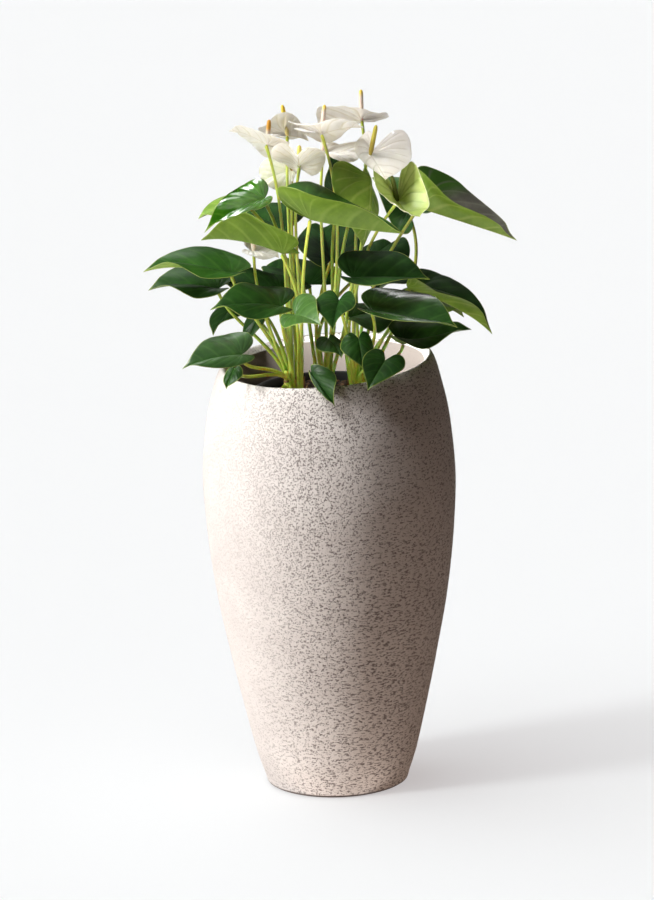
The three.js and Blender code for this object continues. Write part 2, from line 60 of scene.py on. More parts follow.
def unit(v):
    """The vector or the rows of vectors at length one."""
    v = np.asarray(v, float)
    return v / np.maximum(np.linalg.norm(v, axis=-1, keepdims=True), 1e-12)


def smoothstep(low, high, x):
    """0 below low, 1 above high, and a smooth rise between."""
    t = np.clip((x - low) / (high - low), 0, 1)
    return t * t * (3 - 2 * t)


def field(points, wavelength, seed=0.0):
    """Smooth noise from about -1 to 1 at each point, with lumps of about that wavelength in mm."""
    scaled = np.asarray(points).reshape(-1, 3) / wavelength + seed
    values = [noise.noise(Vector(p)) for p in scaled]
    return np.array(values).reshape(np.asarray(points).shape[:-1])


# Materials

def add(tree, kind, settings=None, **inputs):
    """A shader node with its settings and inputs. An input's key is its name or the letter i and its
    number, and it is a value or another node's output."""
    node = tree.nodes.new(kind)
    for key, value in (settings or {}).items():
        setattr(node, key, value)
    for key, value in inputs.items():
        numbered = key[0] == "i" and key[1:].isdigit()
        socket = node.inputs[int(key[1:]) if numbered else key.replace("_", " ")]
        if isinstance(value, bpy.types.NodeSocket):
            tree.links.new(value, socket)
        elif socket.type == "RGBA" and len(value) == 3:
            socket.default_value = (*value, 1)
        else:
            socket.default_value = value
    return node


def calc(tree, operation, *values):
    """The result of a Math node."""
    inputs = {f"i{k}": value for k, value in enumerate(values)}
    return add(tree, "ShaderNodeMath", {"operation": operation}, **inputs).outputs[0]


def remap(tree, value, low, high, to_low=0.0, to_high=1.0):
    """value brought smoothly from the range low..high to the range to_low..to_high."""
    node = add(tree, "ShaderNodeMapRange", {"interpolation_type": "SMOOTHSTEP"},
               Value=value, From_Min=low, From_Max=high, To_Min=to_low, To_Max=to_high)
    return node.outputs["Result"]


def blend_colour(tree, factor, first, second):
    """first where factor is 0 and second where it is 1."""
    return add(tree, "ShaderNodeMix", {"data_type": "RGBA"}, i0=factor, i6=first, i7=second).outputs[2]


def lumps(tree, wavelength, detail=2.0, roughness=0.5, stretch=(1, 1, 1)):
    """Noise from 0 to 1 on the surface, with lumps of about that wavelength in mm."""
    place = add(tree, "ShaderNodeTexCoord").outputs["Object"]
    moved = add(tree, "ShaderNodeMapping", Vector=place, Scale=stretch)
    node = add(tree, "ShaderNodeTexNoise", Vector=moved.outputs[0], Scale=1 / (wavelength * MM),
               Detail=detail, Roughness=roughness)
    return node.outputs["Fac"]


def attribute(tree, name, part):
    """One component, 0 to 2, of a vector attribute of the mesh."""
    node = add(tree, "ShaderNodeAttribute", {"attribute_name": name})
    return add(tree, "ShaderNodeSeparateXYZ", Vector=node.outputs["Vector"]).outputs[part]


def material(name, **values):
    """A new material with one Principled shader. Returns the material, its tree and the shader."""
    made = bpy.data.materials.new(name)
    made.use_nodes = True
    tree = made.node_tree
    shader = tree.nodes["Principled BSDF"]
    for key, value in values.items():
        shader.inputs[key.replace("_", " ")].default_value = value
    return made, tree, shader


def paint(tree, shader, colour):
    """Gives the shader its base colour."""
    tree.links.new(colour, shader.inputs["Base Color"])


def raise_surface(tree, shader, height, distance):
    """Lets height, from 0 to 1, tilt the surface as a relief of that many mm would."""
    bump = add(tree, "ShaderNodeBump", Height=height, Distance=distance * MM, Strength=1.0)
    tree.links.new(bump.outputs[0], shader.inputs["Normal"])


def mottled(name, dark, light, spots, low, high, relief, height, **values):
    """Two tones in blotches, with a fine relief of that height in mm. spots and relief are what lumps
    takes, and low and high are where in the blotches the tones blend."""
    made, tree, shader = material(name, **values)
    paint(tree, shader, blend_colour(tree, remap(tree, lumps(tree, *spots), low, high), dark, light))
    raise_surface(tree, shader, lumps(tree, *relief), height)
    return made


CEMENT_TONES = ((0.725, 0.675, 0.643), (0.785, 0.738, 0.703))
# Painted shade: the dark brown given to the planter's smooth inside and underside, where its pale cement
# lies in shade
PAINTED_INSIDE_SHADE = (0.16, 0.125, 0.105)
# Painted shade in the pits of the cement
PAINTED_PIT_SHADE = (0.07, 0.045, 0.04)


def cement_material():
    """Cast cement with small pits, which run into short level streaks low down. The pits are painted
    dark with shade, faint on the left where the light falls full on them and strong where it grazes.
    The attribute holds how rough it is, how streaked, and how much painted shade its pits take."""
    made, tree, shader = material("cement", Roughness=0.9, Specular_IOR_Level=0.2)
    rough, streaked, depth = (attribute(tree, "rough", part) for part in range(3))
    grain = lumps(tree, 2.5, 2.0, 0.7)
    streak = lumps(tree, 2.8, 2.0, 0.65, (0.45, 0.45, 1.3))
    mixed = add(tree, "ShaderNodeMix", {"data_type": "FLOAT"}, i0=streaked, i2=grain, i3=streak)
    height = mixed.outputs[0]
    body = blend_colour(tree, remap(tree, lumps(tree, 75, 3.0, 0.55), 0.3, 0.7), *CEMENT_TONES)
    # The smooth parts, inside the mouth, on the floor and under the base, take the painted shade
    body = blend_colour(tree, remap(tree, rough, 1.0, 0.12, 0.0, 0.9), body, PAINTED_INSIDE_SHADE)
    # Painted shade in the pits, as strong as the third value of the attribute says
    pit_shade = calc(tree, "MULTIPLY", remap(tree, height, 0.49, 0.405), rough)
    paint(tree, shader, blend_colour(tree, calc(tree, "MULTIPLY", pit_shade, depth), body, PAINTED_PIT_SHADE))
    raise_surface(tree, shader, calc(tree, "MULTIPLY", remap(tree, height, 0.36, 0.52), rough), 0.55)
    return made


def vein_mask(tree, count, width):
    """1 on the side veins of a blade and 0 between them."""
    turn = attribute(tree, "vein", 0)
    place = calc(tree, "FRACT", calc(tree, "MULTIPLY", turn, count))
    return remap(tree, calc(tree, "ABSOLUTE", calc(tree, "SUBTRACT", place, 0.5)), 0.0, width, 1.0, 0.0)


def blade_material(name, margin, veins, depth, deep, pale, vein, gloss, share, glow, shine, near=None):
    """A leaf or spathe. Light goes depth mm into it, share is how clear its veins are, and near is its
    tone by the stalk, where that differs."""
    radius = (0.8, 1.0, 0.4) if depth < 2 else (1.0, 0.95, 0.8)
    made, tree, shader = material(name, Roughness=gloss, Specular_IOR_Level=shine,
                                  Subsurface_Weight=glow, Subsurface_Radius=radius,
                                  Subsurface_Scale=depth * MM)
    body = blend_colour(tree, remap(tree, lumps(tree, 26, 3.0, 0.6), 0.3, 0.72), deep, pale)
    if near:
        body = blend_colour(tree, remap(tree, attribute(tree, "reach", 2), -0.05, 0.2), near, body)
    lines = calc(tree, "MULTIPLY", vein_mask(tree, veins, 0.16), share)
    fade = remap(tree, attribute(tree, "vein", 1), 0.97, 0.8)
    body = blend_colour(tree, calc(tree, "MULTIPLY", lines, fade), body, vein)
    rib = remap(tree, attribute(tree, "reach", 0), 0.5, 1.5, 1.0, 0.0)
    body = blend_colour(tree, calc(tree, "MULTIPLY", rib, min(1.0, 1.5 * share)), body, vein)
    rim = remap(tree, attribute(tree, "reach", 1), 0.5, 1.5, 1.0, 0.0)
    paint(tree, shader, blend_colour(tree, calc(tree, "MULTIPLY", rim, 0.55), body, margin))
    raise_surface(tree, shader, lumps(tree, 3.0, 2.0, 0.5), 0.12)
    return made


def stalk_material():
    """Stalks: yellow-green, paler low down, with fine lengthwise flecks."""
    made, tree, shader = material("stalk", Roughness=0.38, Subsurface_Weight=0.6, Subsurface_Scale=0.003)
    tint = attribute(tree, "stalk", 1)
    low = blend_colour(tree, tint, (0.32, 0.47, 0.045), (0.56, 0.66, 0.13))
    high = blend_colour(tree, tint, (0.24, 0.38, 0.025), (0.62, 0.70, 0.10))
    body = blend_colour(tree, attribute(tree, "stalk", 0), low, high)
    flecks = remap(tree, lumps(tree, 5, 2.0, 0.6, (1, 1, 0.25)), 0.45, 0.75, 0.0, 0.35)
    paint(tree, shader, blend_colour(tree, flecks, body, (0.13, 0.20, 0.02)))
    raise_surface(tree, shader, lumps(tree, 2.5, 1.0, 0.5, (1, 1, 0.1)), 0.15)
    return made


def dim(colour):
    """A darker shade of a colour."""
    return tuple(0.6 * value for value in colour)


def spadix_material(name, foot, end, turn):
    """foot's colour turns to end's near that share of the length, and is darker between the flowers."""
    made, tree, shader = material(name, Roughness=0.55, Specular_IOR_Level=0.4, Subsurface_Weight=0.15,
                                  Subsurface_Scale=0.003)
    along = remap(tree, attribute(tree, "stalk", 0), turn - 0.12, turn + 0.12)
    bead = remap(tree, attribute(tree, "stalk", 1), 0.05, 0.6)
    gaps = blend_colour(tree, along, dim(foot), dim(end))
    paint(tree, shader, blend_colour(tree, bead, gaps, blend_colour(tree, along, foot, end)))
    return made


def foam_material():
    """White bead foam."""
    made, tree, shader = material("foam", Roughness=0.8, Specular_IOR_Level=0.3)
    place = add(tree, "ShaderNodeTexCoord").outputs["Object"]
    beads = add(tree, "ShaderNodeTexVoronoi", {"feature": "DISTANCE_TO_EDGE"}, Vector=place,
                Scale=1 / (5 * MM))
    groove = remap(tree, beads.outputs["Distance"], 0.0, 0.12)
    paint(tree, shader, blend_colour(tree, groove, (0.62, 0.62, 0.6), (0.82, 0.82, 0.8)))
    raise_surface(tree, shader, groove, 0.4)
    return made


def floor_material():
    """A plain pale floor that glows faintly, as one lit from all round does."""
    made, tree, shader = material("floor", Roughness=0.9, Specular_IOR_Level=0.1, Emission_Strength=1.0,
                                  Emission_Color=(0.507, 0.483, 0.484, 1))
    paint(tree, shader, blend_colour(tree, lumps(tree, 900), (0.395, 0.43, 0.438), (0.405, 0.44, 0.448)))
    return made


LEAF_VEINS = 11
SPATHE_VEINS = 12
LEAF_MARGIN = (0.36, 0.42, 0.10)
CREAM_MARGIN = (0.80, 0.76, 0.55)
LEAF_DEPTH = 1.5

# Each finish of a leaf: its two tones, its veins, its roughness, how clear its veins are, how much
# light goes into it, its shine, and its tone by the stalk where that differs
LEAF_FINISHES = {
    "dark": ((0.010, 0.040, 0.006), (0.022, 0.078, 0.011), (0.05, 0.13, 0.022), 0.42, 0.3, 0.3, 0.25),
    "deep": ((0.008, 0.034, 0.005), (0.018, 0.066, 0.009), (0.04, 0.11, 0.02), 0.6, 0.3, 0.3, 0.12),
    "green": ((0.016, 0.070, 0.008), (0.035, 0.125, 0.014), (0.08, 0.20, 0.03), 0.38, 0.35, 0.3, 0.35),
    "bright": ((0.022, 0.120, 0.003), (0.050, 0.19, 0.007), (0.11, 0.30, 0.02), 0.10, 0.35, 0.3, 0.9),
    "sheen": ((0.010, 0.040, 0.006), (0.022, 0.078, 0.011), (0.05, 0.13, 0.022), 0.26, 0.3, 0.3, 0.7),
    "satin": ((0.016, 0.065, 0.010), (0.035, 0.115, 0.018), (0.08, 0.19, 0.04), 0.34, 0.35, 0.3, 1.0),
    "fresh": ((0.034, 0.100, 0.014), (0.060, 0.15, 0.022), (0.12, 0.24, 0.05), 0.40, 0.4, 0.4, 0.5),
    "moss": ((0.090, 0.160, 0.014), (0.140, 0.230, 0.024), (0.22, 0.32, 0.06), 0.5, 0.4, 0.5, 0.2),
    "olive": ((0.14, 0.26, 0.025), (0.22, 0.36, 0.045), (0.32, 0.44, 0.09), 0.45, 0.35, 0.5, 0.3),
    # A grey top painted in for the sheen of light glancing off a leaf, turning to leaf green by the
    # stalk
    "painted_sheen": ((0.085, 0.082, 0.064), (0.160, 0.156, 0.125), (0.22, 0.22, 0.17), 0.42, 0.4, 0.3, 0.5,
             (0.045, 0.13, 0.012)),
    "under": ((0.17, 0.29, 0.025), (0.26, 0.40, 0.050), (0.42, 0.52, 0.12), 0.5, 0.5, 0.5, 0.5),
    "under_dark": ((0.06, 0.12, 0.015), (0.10, 0.18, 0.025), (0.22, 0.32, 0.07), 0.48, 0.6, 0.5, 0.5),
}

# Each finish of a spathe: its margin and its depth in mm, and then as for a leaf
SPATHE_FINISHES = {
    "white": ((0.89, 0.83, 0.69), 5.0, (0.94, 0.850, 0.73), (0.97, 0.900, 0.81), (0.78, 0.69, 0.54),
              0.42, 0.8, 0.9, 0.5),
    "cream": ((0.87, 0.79, 0.61), 5.0, (0.94, 0.850, 0.71), (0.96, 0.890, 0.78), (0.76, 0.66, 0.47),
              0.5, 0.8, 0.9, 0.5),
    "chalk": ((0.88, 0.82, 0.68), 4.5, (0.93, 0.845, 0.71), (0.96, 0.880, 0.78), (0.74, 0.65, 0.51),
              0.5, 0.85, 0.72, 0.3),
    "lime": (CREAM_MARGIN, 2.5, (0.34, 0.45, 0.09), (0.46, 0.56, 0.17), (0.22, 0.34, 0.05),
             0.42, 0.6, 0.4, 0.5),
    "pale_lime": (CREAM_MARGIN, 4.0, (0.78, 0.80, 0.48), (0.88, 0.88, 0.64), (0.56, 0.63, 0.28),
                  0.45, 0.5, 0.85, 0.5),
}

# Each finish of a spadix: the colours of its foot and its end, and where one turns to the other
SPADIX_FINISHES = {
    "cream": ((0.90, 0.76, 0.64), (0.88, 0.64, 0.08), 0.84),
    "orange": ((0.90, 0.78, 0.64), (0.70, 0.34, 0.03), 0.55),
    "yellow": ((0.78, 0.66, 0.28), (0.90, 0.66, 0.07), 0.5),
    "lime": ((0.52, 0.56, 0.14), (0.76, 0.70, 0.16), 0.6),
    "olive": ((0.34, 0.26, 0.025), (0.50, 0.43, 0.05), 0.5),
    "green": ((0.09, 0.12, 0.010), (0.13, 0.16, 0.015), 0.5),
}

FINISHES = {name: blade_material("leaf_" + name, LEAF_MARGIN, LEAF_VEINS, LEAF_DEPTH, *row)
            for name, row in LEAF_FINISHES.items()}
for name, (margin, depth, *row) in SPATHE_FINISHES.items():
    FINISHES[name] = blade_material("spathe_" + name, margin, SPATHE_VEINS, depth, *row)
SPADICES = {name: spadix_material("spadix_" + name, *row) for name, row in SPADIX_FINISHES.items()}
CEMENT = cement_material()
STALK = stalk_material()
HUSK = mottled("husk", (0.14, 0.06, 0.025), (0.42, 0.27, 0.12), (6, 3.0, 0.6, (1, 1, 0.3)), 0.35, 0.7,
               (2, 1.0, 0.5, (1, 1, 0.1)), 0.3, Roughness=0.7)
SOIL = mottled("soil", (0.012, 0.009, 0.007), (0.07, 0.042, 0.024), (5, 3.0, 0.65), 0.35, 0.7,
               (2.5, 3.0, 0.6), 1.2, Roughness=0.95, Specular_IOR_Level=0.2)
BARK = mottled("bark", (0.03, 0.017, 0.01), (0.16, 0.09, 0.045), (14, 2.0, 0.5), 0.35, 0.65,
               (2, 2.0, 0.6), 0.6, Roughness=0.85, Specular_IOR_Level=0.25)
POT_PLASTIC = mottled("pot_plastic", (0.010, 0.010, 0.011), (0.025, 0.0235, 0.0227), (30, 4.0, 0.6),
                      0.45, 0.8, (1.2, 1.0, 0.5), 0.05, Roughness=0.42)
FOAM = foam_material()


# Meshes

def place_piece(mesh, node):
    """Puts a mesh in the scene as the piece that stands for that node."""
    piece = bpy.data.objects.new(node + "_piece", mesh)
    bpy.context.scene.collection.objects.link(piece)
    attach(piece, "root")
    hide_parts(node)


class Shape:
    """Vertices, faces and their values, gathered until they become one mesh."""

    def __init__(self):
        self.points = []
        self.faces = []
        self.slots = []
        self.flat = []
        self.values = {}
        self.count = 0

    def join(self, points, faces, slot=0, flat=False, **values):
        """Adds a patch. Each value is a name with a row of up to three numbers for each point."""
        points = np.asarray(points, float)
        self.points.append(points)
        self.faces.extend([tuple(int(k) + self.count for k in face) for face in faces])
        self.slots.extend([slot] * len(faces))
        self.flat.extend([flat] * len(faces))
        for name, rows in values.items():
            self.values.setdefault(name, []).append((self.count, rows))
        self.count += len(points)

    def piece(self, node, materials, slot):
        """Makes the mesh and its object, standing for that node."""
        mesh = bpy.data.meshes.new(node)
        points = np.concatenate(self.points) * MM
        mesh.from_pydata(points.tolist(), [], self.faces)
        for made in materials:
            mesh.materials.append(made)
        mesh.polygons.foreach_set("material_index", self.slots)
        mesh.polygons.foreach_set("use_smooth", [not flat for flat in self.flat])
        for key, blocks in self.values.items():
            rows = np.zeros((self.count, 3))
            for start, block in blocks:
                rows[start:start + len(block)] = block
            layer = mesh.attributes.new(key, "FLOAT_VECTOR", "POINT")
            layer.data.foreach_set("vector", rows.reshape(-1))
        place_piece(mesh, node)


def grid_faces(rows, columns, wrap=False):
    """Quads of a grid of points stored row by row. With wrap, the last column meets the first."""
    faces = []
    for i in range(rows - 1):
        for j in range(columns if wrap else columns - 1):
            a = i * columns + j
            b = i * columns + (j + 1) % columns
            faces.append((a, b, b + columns, a + columns))
    return faces


def closed_faces(rows, sides):
    """Quads of rings of points, with one face on the first ring and one on the last."""
    faces = grid_faces(rows, sides, wrap=True)
    faces.append(tuple(range(sides - 1, -1, -1)))
    faces.append(tuple(range((rows - 1) * sides, rows * sides)))
    return faces


def lathe(profile, slices):
    """Points and faces of a body turned round the Z axis from an open profile of (radius, height)."""
    angles = np.arange(slices) * TAU / slices
    rings = [np.stack([r * np.cos(angles), r * np.sin(angles), np.full(slices, z)], 1)
             for r, z in profile]
    return np.concatenate(rings), closed_faces(len(profile), slices)


def tube(shape, centres, radii, sides, slot=0, tint=0.5):
    """Adds a closed tube along the centres. Its values are the share of its length and the tint, each
    a number or one for every point."""
    along = unit(np.gradient(centres, axis=0))
    side = unit(np.cross(along[0], (0.31, 0.95, 0.05)))
    angles = np.arange(sides) * TAU / sides
    rings = []
    for centre, radius, direction in zip(centres, radii, along):
        side = unit(side - direction * np.dot(side, direction))
        other = np.cross(direction, side)
        ring = np.cos(angles)[:, None] * side + np.sin(angles)[:, None] * other
        rings.append(centre + np.broadcast_to(radius, sides)[:, None] * ring)
    share = np.repeat(np.linspace(0, 1, len(rings)), sides)
    values = np.stack([share, np.broadcast_to(np.ravel(tint), share.shape), 0 * share], 1)
    shape.join(np.concatenate(rings), closed_faces(len(rings), sides), slot, stalk=values)


# Planter

PLANTER_HEIGHT = 600
MOUTH_SLANT = 0.055
SLANT_START = 430
PLANTER_WALL = 12
PLANTER_FLOOR = 16
OUTER_PROFILE = [
    (91, 0), (97, 3), (100, 12), (111, 46), (128, 117), (143.5, 189), (157, 259), (167, 330),
    (172.5, 395), (174, 430), (173.2, 458), (170.5, 490), (165.5, 530), (158, 562), (152.5, 583),
    (148, 594),
]
MOUTH_PROFILE = [(145, 598.5), (143, 600), (140.5, 599.5), (134, 591)]
PLANTER_SLICES = 300
SMOOTH_CEMENT = 0.12


def spline(points, spacing):
    """Points about that far apart on a centripetal Catmull-Rom curve through the given ones."""
    points = np.asarray(points, float)
    ends = [2 * points[0] - points[1], *points, 2 * points[-1] - points[-2]]
    rows = []
    for p0, p1, p2, p3 in zip(ends, ends[1:], ends[2:], ends[3:]):
        steps = max(1, round(np.linalg.norm(p2 - p1) / spacing))
        for k in range(steps):
            rows.append(catmull(p0, p1, p2, p3, k / steps))
    rows.append(points[-1])
    return np.array(rows)


def catmull(p0, p1, p2, p3, t):
    """A point between p1 and p2 on the centripetal Catmull-Rom curve."""
    gaps = [max(np.sum((b - a) ** 2) ** 0.25, 1e-4) for a, b in ((p0, p1), (p1, p2), (p2, p3))]
    start = ((p1 - p0) / gaps[0] - (p2 - p0) / (gaps[0] + gaps[1]) + (p2 - p1) / gaps[1]) * gaps[1]
    end = ((p2 - p1) / gaps[1] - (p3 - p1) / (gaps[1] + gaps[2]) + (p3 - p2) / gaps[2]) * gaps[1]
    cubic = 2 * (p1 - p2) + start + end
    square = 3 * (p2 - p1) - 2 * start - end
    return p1 + start * t + square * t * t + cubic * t ** 3


def slanted(points):
    """The mouth slants up to the right, more and more above the belly."""
    rise = np.maximum(0, (points[:, 2] - SLANT_START) / (PLANTER_HEIGHT - SLANT_START))
    points[:, 2] += MOUTH_SLANT * points[:, 0] * rise ** 2
    return points


def make_planter():
    """The shell on a fine grid. Pits sink into its outside and into the sloping band of its mouth."""
    outside = spline([*OUTER_PROFILE, *MOUTH_PROFILE[:2]], 3)
    mouth = spline(MOUTH_PROFILE[1:], 1.6)[1:]
    bore = spline([(r - PLANTER_WALL, z) for r, z in OUTER_PROFILE[3:-2]][::-1], 25)
    bottom = [(83, PLANTER_FLOOR), (60, PLANTER_FLOOR), (30, PLANTER_FLOOR), (2, PLANTER_FLOOR)]
    base = [(2, 0), (30, 0), (60, 0), (85, 0)]
    profile = np.concatenate([base, outside, mouth, bore, bottom])
    pitted = np.zeros(len(profile))
    pitted[len(base):len(base) + len(outside) + len(mouth) - 1] = 1
    pitted[len(base):len(base) + 3] = 0
    normal = np.gradient(profile, axis=0)
    normal = unit(np.stack([normal[:, 1], -normal[:, 0]], 1))
    points, faces = lathe(profile, PLANTER_SLICES)
    outwards, _ = lathe(normal, PLANTER_SLICES)
    pitted = np.repeat(pitted, PLANTER_SLICES)
    x, _, z = points.T
    uneven = 0.22 * field(points, 6) + 0.1 * field(points, 13, 7.3) + 0.3 * field(points, 60, 11.0) - 0.3
    low = 1 - smoothstep(150, 560, z + 60 * field(points, 110, 5.0))
    streaked = np.clip(0.45 * low + 0.6 * smoothstep(-60, 120, x), 0, 1)
    rough = SMOOTH_CEMENT + (1 - SMOOTH_CEMENT) * pitted
    # How much painted shade the pits take: little on the left, which faces the light, most in the middle
    # where the light grazes, a little less on the shaded right
    depth = 0.1 + 0.65 * smoothstep(-140, -10, x) - 0.15 * smoothstep(40, 130, x)
    moved = slanted(points + (uneven * pitted)[:, None] * outwards)
    shape = Shape()
    shape.join(moved, faces, rough=np.stack([rough, streaked, depth], 1))
    shape.piece("planter", [CEMENT], "cement")


# Nursery pot, soil and riser

POT_RIM_RADIUS = 105
POT_BASE_RADIUS = 78
POT_HEIGHT = 185
POT_WALL = 2.6
POT_TOP = 556
POT_BOTTOM = POT_TOP - POT_HEIGHT
POT_FLOOR = 3.5
RIM_BAND = 14
SOIL_TOP = POT_TOP - 12
SOIL_MOUND = 6
POT_HOLE = 30
CHIPS = 420
CHIP_CORNERS = [(1, 0, 0), (0.4, 0.8, 0.1), (-0.9, 0.5, 0), (-0.7, -0.6, 0.1), (0.5, -0.7, 0),
                (0, 0, 0.5), (0, 0, -0.5)]
CHIP_FACES = [(k, (k + 1) % 5, 5) for k in range(5)] + [((k + 1) % 5, k, 6) for k in range(5)]


def make_nursery_pot():
    """The tapered shell with its rolled rim and its floor."""
    base = [(-4, 0), (-1, 0.8), (0, 3)]
    rim = [(-4, -0.6 - RIM_BAND), (-3.5, -RIM_BAND), (-0.5, -RIM_BAND), (0, 0.7 - RIM_BAND), (0.8, -2.4),
           (0.6, -1), (-0.6, -0.2), (-2, 0), (-2.6 - POT_WALL, -0.6), (-3 - POT_WALL, -2),
           (-3 - POT_WALL, -RIM_BAND)]
    profile = [(POT_HOLE, POT_BOTTOM)]
    profile += [(POT_BASE_RADIUS + out, POT_BOTTOM + up) for out, up in base]
    profile += [(POT_RIM_RADIUS + out, POT_TOP + up) for out, up in rim]
    profile += [(POT_BASE_RADIUS - POT_WALL, POT_BOTTOM + POT_FLOOR), (POT_HOLE, POT_BOTTOM + POT_FLOOR)]
    shape = Shape()
    shape.join(*lathe(profile, 120))
    shape.piece("nursery_pot", [POT_PLASTIC], "pot_plastic")


def mound(reach):
    """The height of the soil, before its crumbs, at a share of its radius."""
    return SOIL_TOP + SOIL_MOUND * (1 - reach ** 2)


def make_soil():
    """Crumbly soil with chips of bark lying on it."""
    low_radius = POT_BASE_RADIUS - POT_WALL - 0.8
    high_radius = POT_RIM_RADIUS - 3 - POT_WALL - 0.8
    low = POT_BOTTOM + POT_FLOOR + 0.35
    profile = [(20, low), (low_radius, low), (high_radius - 0.8, POT_TOP - RIM_BAND - 1)]
    profile += [(high_radius * s, mound(s)) for s in np.linspace(1, 0.015, 70)]
    points, faces = lathe(profile, 150)
    top = points[:, 2] > SOIL_TOP - 0.01
    crumbs = 2.6 * field(points, 16, 2.0) + 1.5 * field(points, 6, 4.0)
    points[top, 2] += crumbs[top]
    shape = Shape()
    shape.join(points, faces)
    draw = seeded(41)
    for _ in range(CHIPS):
        angle = TAU * next(draw)
        reach = (high_radius - 5) * math.sqrt(next(draw))
        size = 1.6 + 4.2 * next(draw) ** 2
        level = mound(reach / high_radius) + 0.9
        centre = Vector((reach * math.cos(angle), reach * math.sin(angle), level))
        turn = Matrix.Rotation(TAU * next(draw), 3, "Z") @ Matrix.Rotation(next(draw) - 0.5, 3, "X")
        corners = []
        for x, y, z in CHIP_CORNERS:
            spread = 0.75 + 0.5 * next(draw)
            corners.append(centre + turn @ Vector((x * spread, y * spread, z)) * size)
        shape.join(corners, CHIP_FACES, 1, True)
    shape.piece("soil", [SOIL, BARK], "soil")


def finish_riser():
    """The riser keeps its solid and gets its finish."""
    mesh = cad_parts["riser"].data
    mesh.materials.clear()
    mesh.materials.append(FOAM)


# Blades

def half_outline(points):
    """Half an outline as a function of the turn along it, from 0 at the notch to 1 at the tip."""
    points = np.asarray(points, float)
    ends = [2 * points[0] - points[1], *points, 2 * points[-1] - points[-2]]

    def at(turn):
        place = turn * (len(points) - 1)
        k = min(int(place), len(points) - 2)
        return catmull(*ends[k:k + 4], place - k)
    return at


LEAF_OUTLINE = {
    "at": half_outline([(0, 0), (-0.12, 0.05), (-0.29, 0.17), (-0.28, 0.33), (-0.06, 0.45),
                        (0.2, 0.43), (0.48, 0.31), (0.74, 0.15), (0.9, 0.045), (1, 0)]),
    "widest": 0.45, "widest_station": 0.02, "heel_station": -0.29, "lag": 0.45,
}
SPATHE_OUTLINE = {
    "at": half_outline([(0, 0), (-0.22, 0.07), (-0.56, 0.26), (-0.6, 0.52), (-0.34, 0.76),
                        (0.1, 0.8), (0.5, 0.62), (0.8, 0.3), (0.93, 0.08), (1, 0)]),
    "widest": 0.8, "widest_station": 0, "heel_station": -0.6, "lag": 0.35,
}
LEAF_FORM = {"arch": 0.06, "hook": 0.25, "bow": 0.1, "wave": 0.035, "turns": 2.3, "quilt": 0.45,
             "crumple": 0.3, "veins": LEAF_VEINS}
BLOOM_FORM = {"arch": 0.05, "hook": 0.25, "bow": 0.12, "wave": 0.06, "turns": 2.5, "quilt": 1.2,
              "crumple": 1.15, "veins": SPATHE_VEINS}
OUTS = np.array([0, 0.02, 0.045, 0.08, 0.13, 0.2, 0.29, 0.39, 0.5, 0.61, 0.71, 0.8, 0.88, 0.94, 0.98, 1])
BLADE_THICKNESS = 0.6
LEAF_ROWS = 88
SPATHE_ROWS = 100


def blade_frame(blade):
    """The blade's root, midrib, half widths and upper side."""
    axes = {key: np.array(blade[key], float) for key in ("root", "left", "right")}
    axes["along"] = np.array(blade["tip"], float) - axes["root"]
    axes["up"] = unit(np.cross(axes["right"] - axes["left"], axes["along"]))
    axes["length"] = np.linalg.norm(axes["along"])
    return axes


def midrib_points(blade, axes, outline, stations, soft=0.0):
    """Points of the midrib, which arches up and hooks down at its end. Behind the root it runs to the
    heel, halfway between the ends of the lobes, or straight on where the blade has no heel. soft rounds
    off the fold that a heel makes."""
    s = np.asarray(stations, float)[..., None]
    arch = np.where(s > 0, 4 * s * (1 - s), 1.2 * s)
    past = np.maximum(0, s - 0.7)
    lift = blade["arch"] * arch - blade["hook"] * past ** 2
    points = axes["root"] + axes["along"] * s + axes["up"] * lift * axes["length"]
    if blade.get("heel"):
        heel = (np.array(blade["heel"], float) - axes["root"]) / outline["heel_station"]
        points = np.where(s < 0, axes["root"] + heel * s, points)
        turned = axes["along"] - heel
        points = points + turned * (np.sqrt(s * s + soft ** 2) - np.abs(s)) / 2
    return points


